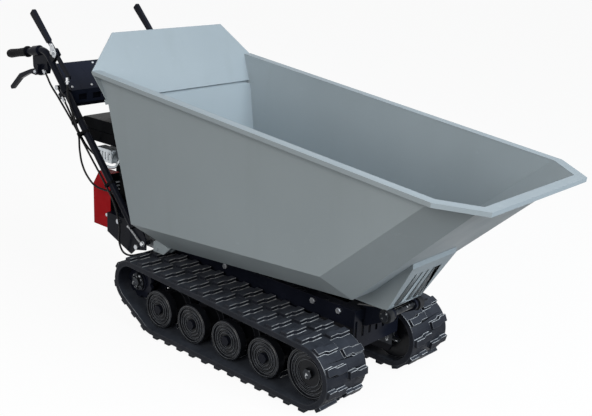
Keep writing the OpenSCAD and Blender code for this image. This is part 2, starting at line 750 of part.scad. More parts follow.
// A side plate hangs from the deck and reaches down to the handle's foot and the latch
module deck_side() polygon([
    [-deck_back, deck_top], [-deck_back, deck_top - deck_lip], [-crank_back, deck_low + 68],
    [-deck_front - 50, deck_low],
    [-deck_front - 28, deck_low + 21], [-deck_front + 30, deck_low + 35], [-deck_front + 30, deck_low + 73],
    [-deck_front, deck_top]
]);

// Gearbox: a long cast case from the sprocket shafts up to the input shaft
crank_x = -crank_back;
crank_z = deck_top + crank_h;
input_r = 22;
case_wheels = [[sprocket_x, sprocket_z, gearbox_half - 2], [crank_x, input_z, input_r]];
input_d = 20;
seam_t = 10;
module gearbox() color(cast_grey) on_track() difference() {
    union() {
        across(-gearbox_half, 2 * gearbox_half) wrapped(case_wheels);
        across(-seam_t / 2, seam_t) wrapped(case_wheels, 4);
        block([-580, -rail_in, rail_low + 4], [-545, rail_in, rail_top - 12]);
        y_bar(crank_x, -gearbox_half - 60, input_z, 60, 2 * input_r);
    }
    for (side = [1, -1]) sided(side)
        y_bar(sprocket_x, gearbox_half - shaft_in - 1, sprocket_z, shaft_in + 2, shaft_d + 2 * run_fit);
    y_bar(crank_x, -gearbox_half - 61, input_z, 100, input_d + 2 * run_fit);
}

// Pulleys with a groove for the belt, on their shafts
groove_depth = 8;
pulley_half = 9;
module pulley(x, z, r) y_turned(x, -belt_line, z, [
    [0, -pulley_half], [r, -pulley_half], [r, -pulley_half + 2], [r - groove_depth, -4],
    [r - groove_depth, 4],
    [r, pulley_half - 2], [r, pulley_half], [0, pulley_half]
]);
module gearbox_pulley() color(cast_grey) on_track() {
    pulley(crank_x, input_z, gearbox_pulley_r);
    y_bar(crank_x, -belt_line, input_z, belt_line - gearbox_half + 20, input_d);
}
module engine_pulley() color(cast_grey) on_track() {
    pulley(crank_x, crank_z, engine_pulley_r);
    y_bar(crank_x, -belt_line, crank_z, belt_line - case_half + 20, input_d);
}

v_belt_t = 7;
module drive_belt() color(rubber_black) on_track() across(-belt_line - 3, 6) difference() {
    belt_wheels = [[crank_x, crank_z, engine_pulley_r - groove_depth],
        [crank_x, input_z, gearbox_pulley_r - groove_depth]];
    wrapped(belt_wheels, v_belt_t + seat_gap);
    wrapped(belt_wheels, seat_gap);
}

// Red sheet cover over the pulleys, open towards the engine
guard_in = belt_line - 22;
guard_sheet = 2.5;
guard_half_x = 50;
guard_floor = input_z - gearbox_pulley_r - 4;
guard_roof = crank_z + engine_pulley_r + 6;
function guard_outline(d) = [
    [crank_x - guard_half_x + d, guard_floor + d], [crank_x + guard_half_x - d, guard_floor + d],
    [crank_x + guard_half_x - d, guard_roof - d], [crank_x - 14 + d / 2, guard_roof - d],
    [crank_x - guard_half_x + d, guard_roof - 54 - d / 2]
];
module belt_guard() color(guard_red) on_track() difference() {
    across(-guard_out, guard_out - guard_in) polygon(guard_outline(0));
    across(-guard_out + guard_sheet, guard_out - guard_in) polygon(guard_outline(guard_sheet));
}

// Engine
case_half = 84;
case_r = 76;
foot_t = 12;
module crankcase() color(engine_black) on_track() difference() {
    union() {
        across(-case_half, 2 * case_half) {
            translate([crank_x, crank_z]) circle(case_r, $fn = 72);
            translate([crank_x - case_r, deck_top + foot_t / 2]) square([2 * case_r, crank_h]);
        }
        block([crank_x - 98, -case_half + 10, deck_top], [crank_x + 98, case_half - 10, deck_top + foot_t]);
        y_bar(crank_x, -case_half - 12, crank_z, 12, 96);
        y_bar(crank_x, -case_half - 20, crank_z, 20, 46);
        block([crank_x - 60, -50, crank_z + 60], [crank_x + 40, 50, tank_low]);
    }
    y_bar(crank_x, -case_half - 21, crank_z, 60, input_d + 2 * run_fit);
}

// Finned cylinder that leans forward, with its rocker cover
barrel_angle = 20;
fin_count = 8;
fin_pitch = 12;
fin_size = 118;
head_half = 44;
module on_cylinder() translate([crank_x, 0, crank_z]) rotate([0, 90 - barrel_angle, 0]) children();
module cylinder_block() color(cast_grey) on_track() on_cylinder() difference() {
    union() {
        translate([-40, -40, 20]) cube([80, 80, 160]);
        for (i = [0 : fin_count - 1])
            translate([-fin_size / 2, -fin_size / 2, case_r + 8 + i * fin_pitch])
                cube([fin_size, fin_size, 4]);
        translate([-48, -head_half, case_r + 8 + fin_count * fin_pitch]) cube([96, 2 * head_half, 28]);
    }
    rotate([0, -90 + barrel_angle, 0]) {
        y_bar(0, -case_half - 1, 0, 2 * case_half + 2, 2 * case_r);
        block([-case_r, -case_half, foot_t - crank_h], [case_r, case_half, foot_t / 2]);
        block([-60, -50, 40], [40, 50, crank_h + 60]);
    }
}

// Recoil starter with a ring of air slots
starter_r = 92;
starter_h = 46;
starter_slots = 16;
module recoil_starter() color(engine_black) on_track() difference() {
    union() {
        y_bar(crank_x, case_half, crank_z, starter_h - 12, 2 * starter_r, 72);
        y_bar(crank_x, case_half, crank_z, starter_h, 2 * (starter_r - 18), 72);
    }
    for (i = [0 : starter_slots - 1])
        translate([crank_x, case_half + starter_h - 20, crank_z]) rotate([0, i * 360 / starter_slots, 0])
            block([-5, 0, 34], [5, 24, 66]);
}

// Fuel tank with rounded edges, and its cap
tank_low = 572;
tank_top = 655;
tank_back = 56;
tank_x = crank_x - tank_back;
tank_half_x = 121;
tank_right = -160;
tank_left = 124;
tank_r = 22;
module fuel_tank() color(engine_black) on_track() {
    across(tank_right, tank_left - tank_right) {
        for (dx = [-1, 1]) for (z = [tank_low + tank_r, tank_top - tank_r])
            translate([tank_x + dx * (tank_half_x - tank_r), z]) circle(tank_r);
        translate([tank_x - tank_half_x, tank_low + tank_r])
            square([2 * tank_half_x, tank_top - tank_low - 2 * tank_r]);
        translate([tank_x - tank_half_x + tank_r, tank_low])
            square([2 * (tank_half_x - tank_r), tank_top - tank_low]);
    }
    translate([crank_x, 0, tank_top - 2]) cylinder(h = 8, d = 46);
}

cap_d = 58;
cap_h = 22;
cap_ribs = 12;
module fuel_cap() color(engine_black) on_track() translate([crank_x, 0, tank_top + 6 + seat_gap])
    difference() {
    cylinder(h = cap_h, d = cap_d);
    for (i = [0 : cap_ribs - 1])
        rotate(i * 360 / cap_ribs) translate([cap_d / 2 + 2, 0, -1]) cylinder(h = cap_h - 4, d = 9);
}

// Carburettor and air filter on the left, muffler and its shield on the right
head_reach = case_r + 8 + fin_count * fin_pitch + 14;
head_x = crank_x + head_reach * cos(barrel_angle);
head_z = crank_z + head_reach * sin(barrel_angle);
module carburettor() color(cast_grey) on_track() {
    y_bar(head_x, head_half, head_z, intake_len, 26);
    block([head_x - 16, fin_size / 2 + 2, head_z - 46], [head_x + 14, head_half + 50, head_z + 12]);
}
filter_r = 20;
filter_half = 60;
filter_x = head_x - 14;
filter_z = head_z + 20;
filter_w = 92;
intake_len = 58;
module air_filter() color(engine_black) on_track() {
    flat = filter_half - filter_r;
    across(head_half + intake_len, filter_w) {
        for (dx = [-1, 1]) for (dz = [-1, 1]) translate([filter_x + dx * flat, filter_z + dz * flat])
            circle(filter_r);
        translate([filter_x - filter_half, filter_z - flat]) square([2 * filter_half, 2 * flat]);
        translate([filter_x - flat, filter_z - filter_half]) square([2 * flat, 2 * filter_half]);
    }
    y_bar(filter_x, head_half + intake_len + filter_w, filter_z, 9, 36, 6);
}
muffler_x = crank_x;
muffler_z = crank_z + 88;
muffler_half = 38;
muffler_half_z = 20;
muffler_r = 9;
muffler_in = -122;
muffler_out = -186;
module muffler() color(bare_steel) on_track() {
    across(muffler_out, muffler_in - muffler_out) {
        flat_x = muffler_half - muffler_r;
        flat_z = muffler_half_z - muffler_r;
        for (dx = [-1, 1]) for (dz = [-1, 1])
            translate([muffler_x + dx * flat_x, muffler_z + dz * flat_z]) circle(muffler_r);
        translate([muffler_x - muffler_half, muffler_z - flat_z]) square([2 * muffler_half, 2 * flat_z]);
        translate([muffler_x - flat_x, muffler_z - muffler_half_z]) square([2 * flat_x, 2 * muffler_half_z]);
    }
    pipe_y = (muffler_in + muffler_out) / 2;
    round_bar([muffler_x, pipe_y, head_z], [head_x, pipe_y, head_z], pipe_d);
    translate([head_x, pipe_y, head_z]) sphere(d = pipe_d);
    y_bar(head_x, pipe_y, head_z, -head_half - pipe_y, pipe_d);
}
pipe_d = 24;
shield_gap = 6;
shield_over = 3;
shield_t = 1.5;
shield_wrap = 30;
shield_slots = 4;
shield_slot_w = 6;
shield_slot_pitch = 16;
module muffler_shield() color(bare_steel) on_track() {
    shield_sheet();
    for (dx = [-1, 1])
        y_bar(muffler_x + dx * (muffler_half - 10), muffler_out - shield_gap, muffler_z + muffler_half_z / 2,
            shield_gap, 8);
}
module shield_sheet() difference() {
    half_x = muffler_half + shield_over;
    half_z = muffler_half_z + shield_over;
    face_y = muffler_out - shield_gap;
    block([muffler_x - half_x - shield_t, face_y - shield_t, muffler_z - half_z],
        [muffler_x + half_x + shield_t, muffler_out + shield_wrap, muffler_z + half_z + shield_t]);
    block([muffler_x - half_x, face_y, muffler_z - half_z - 1],
        [muffler_x + half_x, muffler_out + shield_wrap + 1, muffler_z + half_z]);
    round_bar([muffler_x, (muffler_in + muffler_out) / 2, head_z],
        [head_x, (muffler_in + muffler_out) / 2, head_z], pipe_d + 6);
    for (i = [0 : shield_slots - 1])
        translate([muffler_x + (i - (shield_slots - 1) / 2) * shield_slot_pitch - shield_slot_w / 2,
            face_y - shield_t - 1,
            muffler_z - muffler_half_z * 0.7])
            cube([shield_slot_w, shield_t + 2, 1.4 * muffler_half_z]);
}

// Handles: a straight run up from the deck, a bend, and the grip run to the rear
handle_y = deck_half + tube_d / 2;
handle_foot = [-490, 337];
handle_bend = [-bend_back, bend_z];
grip_cap = 4;
grip_tip = grip_cap + 1.86;
handle_end = [-rear_reach + grip_tip, bend_z - grip_drop];
bend_r = 60;
up_dir = unit(handle_bend - handle_foot);
back_dir = unit(handle_end - handle_bend);
bend_deg = angle_of(back_dir) + 360 - angle_of(up_dir);
bend_turn = bend_deg > 180 ? bend_deg - 360 : bend_deg;
bend_cut = bend_r * tan(bend_turn / 2);
function in_xz(p, y) = [p[0], y, p[1]];

bend_centre = handle_bend - up_dir * bend_cut + turn(up_dir, 90) * bend_r;

// The bar is drawn round the centre of its bend, which bending leaves a little slimmer than the straight runs
bend_slim = 0.3;
bend_lap = 1;
module handle_run(d, over) {
    up_len = norm(handle_bend - handle_foot) - bend_cut + over;
    grip_run = norm(handle_end - handle_bend) - bend_cut + over;
    translate(in_xz(bend_centre, 0)) rotate([90, 0, 0]) rotate(angle_of(up_dir) - 90) {
        translate([bend_r, bend_lap, 0]) rotate([90, 0, 0]) cylinder(h = up_len + bend_lap, d = d);
        rotate_extrude(angle = bend_turn) translate([bend_r, 0]) circle((d - bend_slim) / 2);
        rotate(bend_turn) translate([bend_r, -bend_lap, 0]) rotate([-90, 0, 0])
            cylinder(h = grip_run + bend_lap, d = d);
    }
}

module handle(side) color(frame_black) on_track() sided(side) translate([0, handle_y, 0]) difference() {
    handle_run(tube_d, 0);
    handle_run(tube_d - 2 * tube_wall, 1);
}
module handle_left() handle(1);
module handle_right() handle(-1);

module on_grip(y) translate(in_xz(handle_end, y)) rotate([0, 90 - angle_of(back_dir), 0]) children();
module grip(side) color(rubber_black) on_track() sided(side) on_grip(handle_y) rotate_extrude() polygon([
    [0, 0.2], [tube_d / 2 + run_fit, 0.2], [tube_d / 2 + run_fit, -grip_len], [grip_d / 2 + 4, -grip_len],
    [grip_d / 2 + 4, -grip_len + 6], [grip_d / 2, -grip_len + 9], [grip_d / 2 - 1.5, -grip_len / 2],
    [grip_d / 2, -12], [grip_d / 2 - 2, 0], [grip_d / 2 - 6, grip_cap], [0, grip_cap]
]);
module grip_left() grip(1);
module grip_right() grip(-1);

// A frame that lies on the straight run of the handles: X down the tube, Z forward and up, from the bend
handle_tilt = angle_of(up_dir);
module on_handle() translate(in_xz(handle_bend, 0)) rotate([0, 180 - handle_tilt, 0]) children();

// Console cover between the handles, with a slotted flange at its foot
console_from = 63;
console_to = 181;
console_t = 3;
console_foot = 48;
console_half = deck_half - 1;
console_z = tube_d / 2;
gear_y = 60;
gear_x = 131;
module console() color(frame_black) on_track() on_handle() difference() {
    console_sheet();
    translate([gear_x - 34, gear_y - 9, -1]) cube([68, 18, console_t + 2]);
    translate([throttle_x - clamp_half - seat_gap, -handle_y, 0]) rotate([0, 90, 0])
        cylinder(h = 2 * (clamp_half + seat_gap), d = clamp_d + 2 * seat_gap);
}
module console_sheet() {
    translate([console_from, -console_half, 0])
        cube([console_to - console_from, 2 * console_half, console_t]);
    translate([console_to - console_t, -console_half, 0]) rotate([0, handle_tilt - 90, 0]) difference() {
        cube([console_foot, 2 * console_half, console_t]);
        for (i = [0 : 5]) translate([16, 38 + i * 62, -1]) cube([22, 36, console_t + 2]);
    }
    for (side = [1, -1]) sided(side)
        translate([console_from, console_half - console_t, -34])
            cube([console_to - console_from, console_t + 1 - seat_gap, 36]);
}

// Upright levers lie along the handles on their forward side, and pivot near the bend
pivot_x = 40;
pivot_z = tube_d / 2 + 30;
lever_pin_d = 10;
lever_t = 8;
lever_down = 120;
lever_lean = 3.5;
cheek_t = 4;
module on_pivot(side) on_handle() translate([pivot_x, side * handle_y, pivot_z]) children();
module upright_lever(side) on_track() on_pivot(side) rotate([0, -lever_lean, 0]) difference() {
    union() {
        across(-lever_t / 2, lever_t) {
            translate([-60, -8]) square([60 + lever_down - 8, 16]);
            circle(13);
            translate([lever_down - 8, 0]) circle(8);
        }
        across(-7, 14) polygon([[-lever_up, -11], [-lever_up + 6, -13], [-50, -10], [-46, -8], [-46, 8],
            [-50, 10],
            [-lever_up + 6, 13], [-lever_up, 11]]);
    }
    y_bar(0, -lever_t, 0, 2 * lever_t, lever_pin_d + 2 * run_fit);
    y_bar(lever_down - 8, -lever_t, 0, 2 * lever_t, 6);
}
module tip_lever() color(rubber_black) upright_lever(-1);
module drive_lever() color(rubber_black) upright_lever(1);

// Brackets that carry the levers on the handles, each with its pivot pin
steer_pivot = [-1036, 800];
throttle_x = 174;
throttle_z = -tube_d / 2 - 18;
clamp_half = 11;
clamp_d = tube_d + 10;
module upright_bracket(side) on_pivot(side) difference() {
    union() {
        for (y = [-lever_t / 2 - end_gap - cheek_t, lever_t / 2 + end_gap])
            translate([-4, y, -pivot_z]) cube([26, cheek_t, pivot_z + 14]);
        y_bar(0, -lever_t / 2 - end_gap - cheek_t - 4, 0, lever_t + 2 * end_gap + 2 * cheek_t + 8,
            lever_pin_d);
        y_bar(0, -lever_t / 2 - end_gap - cheek_t, 0, cheek_t, 28);
        y_bar(0, lever_t / 2 + end_gap, 0, cheek_t, 28);
    }
    translate([-60, 0, -pivot_z]) rotate([0, 90, 0]) cylinder(h = 120, d = tube_d + 2 * run_fit);
}
perch_t = 14;
perch_y = -perch_t;
function grip_run_z(x) = handle_bend[1] + (x - handle_bend[0]) * back_dir[1] / back_dir[0];
module steering_perch(side) sided(side) translate([0, handle_y, 0]) difference() {
    union() {
        across(perch_y, perch_t) translate(steer_pivot) polygon([
            [-34, 14], [-14, -14], [14, -14], [40, -4], [54, -2], [60, 14], [56, 44],
            [44, grip_run_z(steer_pivot[0] + 44) - steer_pivot[1]],
            [-36, grip_run_z(steer_pivot[0] - 36) - steer_pivot[1]]
        ]);
        round_bar(in_xz([steer_pivot[0] - 22, grip_run_z(steer_pivot[0] - 22)], 0),
            in_xz([steer_pivot[0] + 14, grip_run_z(steer_pivot[0] + 14)], 0), tube_d + 12);
        y_bar(steer_pivot[0], 0, steer_pivot[1], perch_t + 4, 8);
    }
    handle_run(tube_d + 2 * run_fit, 0);
}
module throttle_bracket() on_handle() translate([throttle_x, -handle_y, 0]) difference() {
    union() {
        rotate([0, 90, 0]) translate([0, 0, -clamp_half]) cylinder(h = 2 * clamp_half, d = clamp_d);
        translate([-clamp_half, -6, throttle_z - 12]) cube([2 * clamp_half, 6, -throttle_z]);
        y_bar(0, -6, throttle_z, 16, 8);
    }
    rotate([0, 90, 0]) translate([0, 0, -clamp_half - 1])
        cylinder(h = 2 * clamp_half + 2, d = tube_d + 2 * run_fit);
}
module lever_brackets() color(frame_black) on_track() {
    for (side = [1, -1]) {
        upright_bracket(side);
        steering_perch(side);
    }
    throttle_bracket();
    gear_bracket();
}

// Steering levers hang below the grips and are squeezed up
module steering_lever(side) color(rubber_black) on_track() sided(side)
    translate([steer_pivot[0], handle_y + seat_gap, steer_pivot[1]])
    difference() {
        across(0, perch_t) {
            circle(13);
            polygon([[0, 13], [-34, 4], [-106, -22], [-164, -72], [-170, -84], [-158, -88], [-100, -40],
                [-34, -10], [0, -13]]);
            translate([-163, -81]) circle(8);
            polygon([[0, -13], [13, 0], [20, 26], [10, 28]]);
        }
        y_bar(0, -1, 0, perch_t + 2, 8 + 2 * run_fit);
    }
module steering_lever_left() steering_lever(1);
module steering_lever_right() steering_lever(-1);

module throttle_lever() color(rubber_black) on_track() on_handle()
    translate([throttle_x, -handle_y, throttle_z]) difference() {
    across(seat_gap, 8) {
        circle(11);
        polygon([[6, 8], [-37, 0], [-31, -10], [6, -8]]);
        translate([-34, -4]) circle(8);
    }
    y_bar(0, -1, 0, 12, 8 + 2 * run_fit);
}

// Gear lever through the slot in the console
gear_pivot_z = -46;
module gear_bracket() on_handle() {
    for (y = [-16, 12]) translate([gear_x - 12, gear_y + y, gear_pivot_z - 12])
        cube([24, 4, -gear_pivot_z + 12]);
    y_bar(gear_x, gear_y - 20, gear_pivot_z, 40, 8);
}
module gear_lever() color(bare_steel) on_track() on_handle() translate([gear_x, gear_y, gear_pivot_z])
    difference() {
    union() {
        y_bar(0, -10, 0, 20, 22);
        cylinder(h = 150, d = 10);
        translate([0, 0, 158]) sphere(d = 34);
    }
    y_bar(0, -11, 0, 22, 8 + 2 * run_fit);
}

// Tip latch: a striker under the rear of the bucket and a hook on the chassis
latch_y = -186;
striker_x = -398;
striker_z = 277;
striker_d = 12;
striker_w = 30;
cheek_x = 20;
module bucket_striker() color(bucket_grey) on_track() {
    for (y = [latch_y - striker_w / 2 - 5, latch_y + striker_w / 2]) across(y, 5) polygon([
        [striker_x - cheek_x, striker_z - 12], [striker_x + cheek_x + 14, striker_z - 12],
        [-floor_back + 18, floor_height(-floor_back + 18)], [-floor_back, floor_rear_z],
        [-floor_back - 25, rear_bevel_height(-floor_back - 25)], [striker_x - cheek_x, striker_z + 22]
    ]);
    y_bar(striker_x, latch_y - striker_w / 2 - 8, striker_z, striker_w + 16, striker_d);
}
function rear_bevel_height(x) =
    floor_rear_z + (x + floor_back) * (knuckle_z - floor_rear_z) / (floor_back - knuckle_back);

hook_t = 12;
hook_pivot = [-455, 284];
hook_pin_d = 12;
module latch_hook() color(bare_steel) on_track() difference() {
    across(latch_y - hook_t / 2, hook_t) {
        translate(hook_pivot) circle(15);
        polygon([
            [hook_pivot[0], hook_pivot[1] - 15], [striker_x - 9, striker_z - 4],
            [striker_x - 9, striker_z + 8],
            [striker_x + 12, striker_z + 8], [striker_x + 12, striker_z + 13],
            [striker_x + 2, striker_z + 19],
            [hook_pivot[0], hook_pivot[1] + 15]
        ]);
        polygon([
            [hook_pivot[0] - 34, hook_pivot[1] + 46], [hook_pivot[0] - 12, hook_pivot[1] - 8],
            [hook_pivot[0] + 10, hook_pivot[1] + 10], [hook_pivot[0] - 22, hook_pivot[1] + 52]
        ]);
    }
    y_bar(hook_pivot[0], latch_y - hook_t, hook_pivot[1], 2 * hook_t, hook_pin_d + 2 * run_fit);
}

// Cables are tubes swept along points chosen by hand
cable_d = 7;
cable_sides = 8;
function ring_frame(dir) =
    let (side = unit(cross(dir, abs(dir[2]) > 0.9 ? [1, 0, 0] : [0, 0, 1])))
    [side, cross(side, dir)];
function path_dir(path, i) =
    i == 0 ? unit(path[1] - path[0]) :
    i == len(path) - 1 ? unit(path[i] - path[i - 1]) :
    unit(unit(path[i + 1] - path[i]) + unit(path[i] - path[i - 1]));
module cable(path, d = cable_d) {
    rings = len(path);
    points = [for (i = [0 : rings - 1])
        let (f = ring_frame(path_dir(path, i)))
        for (k = [0 : cable_sides - 1])
            path[i] + (f[0] * cos(k * 360 / cable_sides) + f[1] * sin(k * 360 / cable_sides)) * d / 2];
    sides = [for (i = [0 : rings - 2]) for (k = [0 : cable_sides - 1])
        let (a = i * cable_sides + k, b = i * cable_sides + (k + 1) % cable_sides)
        each [[a, b, b + cable_sides], [a, b + cable_sides, a + cable_sides]]];
    caps = [[for (k = [cable_sides - 1 : -1 : 0]) k],
        [for (k = [0 : cable_sides - 1]) (rings - 1) * cable_sides + k]];
    polyhedron(points = points, faces = concat(sides, caps));
}

steer_route = [
    [-994, 240, 808], [-960, 250, 795], [-930, 256, 770], [-880, 258, 730], [-800, 254, 650],
    [-700, 252, 545],
    [-620, 250, 460], [-575, 248, 400], [-552, 247, 330], [-552, 245, 258], [-550, 220, 219],
    [-546, 150, 206],
    [-545, 90, 204], [-545, 58.4, 204]
];
tip_route = [
    [-843.5, -243.5, 803], [-840, -246, 780], [-832, -252, 755], [-812, -256, 712], [-780, -260, 664],
    [-755, -264, 620],
    [-750, -264, 560], [-738, -262, 510], [-710, -258, 470], [-675, -254, 448], [-645, -244, 440],
    [-620, -224, 430],
    [-600, -202, 404], [-590, -191, 375], [-586, -188, 347.5], [-576, -187, 335], [-545, -186, 331],
    [-497, -186, 331]
];
throttle_route = [
    [-883, -237.5, 727], [-862, -238, 704], [-840, -232, 665], [-824, -214, 610], [-818, -186, 555],
    [-820, -148, 514],
    [-822, -108, 490], [-818, -72, 480], [-804, -48, 478], [-781.4, -40, 478]
];
drive_route = [
    [-843.5, 243.5, 803], [-840, 246, 780], [-832, 252, 755], [-812, 256, 712], [-780, 260, 668],
    [-740, 258, 640],
    [-715, 234, 620], [-700, 200, 600], [-690, 180, 520], [-660, 170, 420], [-642, 165, 372],
    [-640, 165, 350.4]
];
module steering_cables() color(rubber_black) on_track() for (side = [1, -1]) sided(side) cable(steer_route);
module tip_cable() color(rubber_black) on_track() cable(tip_route);
module engine_cables() color(rubber_black) on_track() {
    cable(throttle_route);
    cable(drive_route);
}

// Hexagon bolt heads
head_d = 20;
head_h = 7;
module side_heads(places, y) for (p = places) y_bar(p[0], y, p[1], head_h, head_d, 6);
module frame_bolts() color(bare_steel) on_track() {
    for (side = [1, -1]) sided(side) {
        side_heads([[231, rail_top - 16], [336, rail_top - 16], [-160, rail_top - 16]], rail_half);
        side_heads([[-586, deck_top - 17], [-487, deck_low + 35]], deck_half);
    }
    y_bar(crank_x + 30, -guard_out - 4, input_z + 14, 4, 14, 6);
}

bucket_shell();
bucket_back_plate();
bucket_nose();
bucket_striker();
chassis_frame();
front_guard();
engine_deck();
rest_pads();
hinge_pin();
track_frame_left();
track_frame_right();
track_left();
track_right();
roller_axles();
roller_left_1();
roller_left_2();
roller_left_3();
roller_left_4();
roller_right_1();
roller_right_2();
roller_right_3();
roller_right_4();
idler_left();
idler_right();
idler_tensioners();
sprocket_left();
sprocket_right();
drive_shaft_left();
drive_shaft_right();
gearbox();
gearbox_pulley();
engine_pulley();
drive_belt();
belt_guard();
crankcase();
cylinder_block();
recoil_starter();
fuel_tank();
fuel_cap();
air_filter();
carburettor();
muffler();
muffler_shield();
handle_left();
handle_right();
grip_left();
grip_right();
console();
lever_brackets();
steering_lever_left();
steering_lever_right();
tip_lever();
drive_lever();
throttle_lever();
gear_lever();
latch_hook();
steering_cables();
tip_cable();
engine_cables();
frame_bolts();
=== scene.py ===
"""Looks of the tracked power carrier: camera, light, cables, finishes and the small pieces on its solids.

Metres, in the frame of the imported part: X forward, Y to the left, Z up, tracks standing on z = 0.
Routes, and the places and outlines of small pieces, are in millimetres.
"""
import json
import math

import bmesh
import bpy
from mathutils import Matrix, Vector
from mathutils.geometry import interpolate_bezier


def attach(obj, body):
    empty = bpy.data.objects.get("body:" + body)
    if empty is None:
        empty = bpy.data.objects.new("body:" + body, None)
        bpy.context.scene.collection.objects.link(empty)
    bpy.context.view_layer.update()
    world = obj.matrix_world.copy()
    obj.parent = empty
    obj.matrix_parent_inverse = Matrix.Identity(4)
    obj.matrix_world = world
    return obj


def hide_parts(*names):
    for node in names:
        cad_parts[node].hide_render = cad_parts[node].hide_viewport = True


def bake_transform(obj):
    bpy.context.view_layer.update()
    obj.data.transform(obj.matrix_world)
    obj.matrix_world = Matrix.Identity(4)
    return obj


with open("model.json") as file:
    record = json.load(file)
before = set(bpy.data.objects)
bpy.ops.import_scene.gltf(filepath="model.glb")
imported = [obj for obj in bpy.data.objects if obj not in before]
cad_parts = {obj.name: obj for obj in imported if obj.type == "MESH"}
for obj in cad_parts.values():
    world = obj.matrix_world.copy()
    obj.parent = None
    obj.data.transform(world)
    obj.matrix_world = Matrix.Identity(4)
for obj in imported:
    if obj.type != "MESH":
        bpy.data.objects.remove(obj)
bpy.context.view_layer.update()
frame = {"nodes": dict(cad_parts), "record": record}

NODES = frame["nodes"]
SCENE = bpy.context.scene
SIDES = {"left": 1, "right": -1}
MM = 0.001
FULL_TURN = 2 * math.pi

# The part's own routes are measured from the middle of the tracks
TRACK_MIDDLE_X = 0.166


def place(x, y, z):
    """A point given in millimetres from the middle of the tracks."""
    return Vector((x * MM + TRACK_MIDDLE_X, y * MM, z * MM))


# Camera

IMAGE_WIDTH = 592
FOCAL_PIXELS = 963
SENSOR_WIDTH = 36
CAMERA_PLACE = (2.181, -2.202, 1.421)
CAMERA_AZIMUTH = math.radians(41.79)
CAMERA_ELEVATION = math.radians(17.47)
CAMERA_ROLL = math.radians(2.56)


def make_camera():
    """The camera where the photograph was taken from."""
    data = bpy.data.cameras.new("camera")
    data.sensor_width = SENSOR_WIDTH
    data.lens = FOCAL_PIXELS / IMAGE_WIDTH * SENSOR_WIDTH
    camera = bpy.data.objects.new("camera", data)
    SCENE.collection.objects.link(camera)
    right = Vector((math.cos(CAMERA_AZIMUTH), math.sin(CAMERA_AZIMUTH), 0))
    level_back = Vector((math.sin(CAMERA_AZIMUTH), -math.cos(CAMERA_AZIMUTH), 0))
    back = level_back * math.cos(CAMERA_ELEVATION) + Vector((0, 0, math.sin(CAMERA_ELEVATION)))
    axes = Matrix((right, back.cross(right), back)).transposed()
    rolled = axes @ Matrix.Rotation(CAMERA_ROLL, 3, "Z")
    camera.matrix_world = Matrix.Translation(CAMERA_PLACE) @ rolled.to_4x4()
    SCENE.camera = camera


# Finishes

MIX_FACTOR = 0
MIX_FIRST = 6
MIX_SECOND = 7
MIX_RESULT = 2
FULL_LEVEL = 255
SRGB_KNEE = 0.04045
SRGB_SLOPE = 12.92
SRGB_LIFT = 0.055
SRGB_POWER = 2.4
EVEN = (1, 1, 1)


def linear(level):
    """A screen level of 0 to 255 as linear light."""
    share = level / FULL_LEVEL
    if share <= SRGB_KNEE:
        return share / SRGB_SLOPE
    return ((share + SRGB_LIFT) / (1 + SRGB_LIFT)) ** SRGB_POWER


def srgb(red, green, blue):
    """A screen colour as linear light."""
    return (linear(red), linear(green), linear(blue), 1.0)


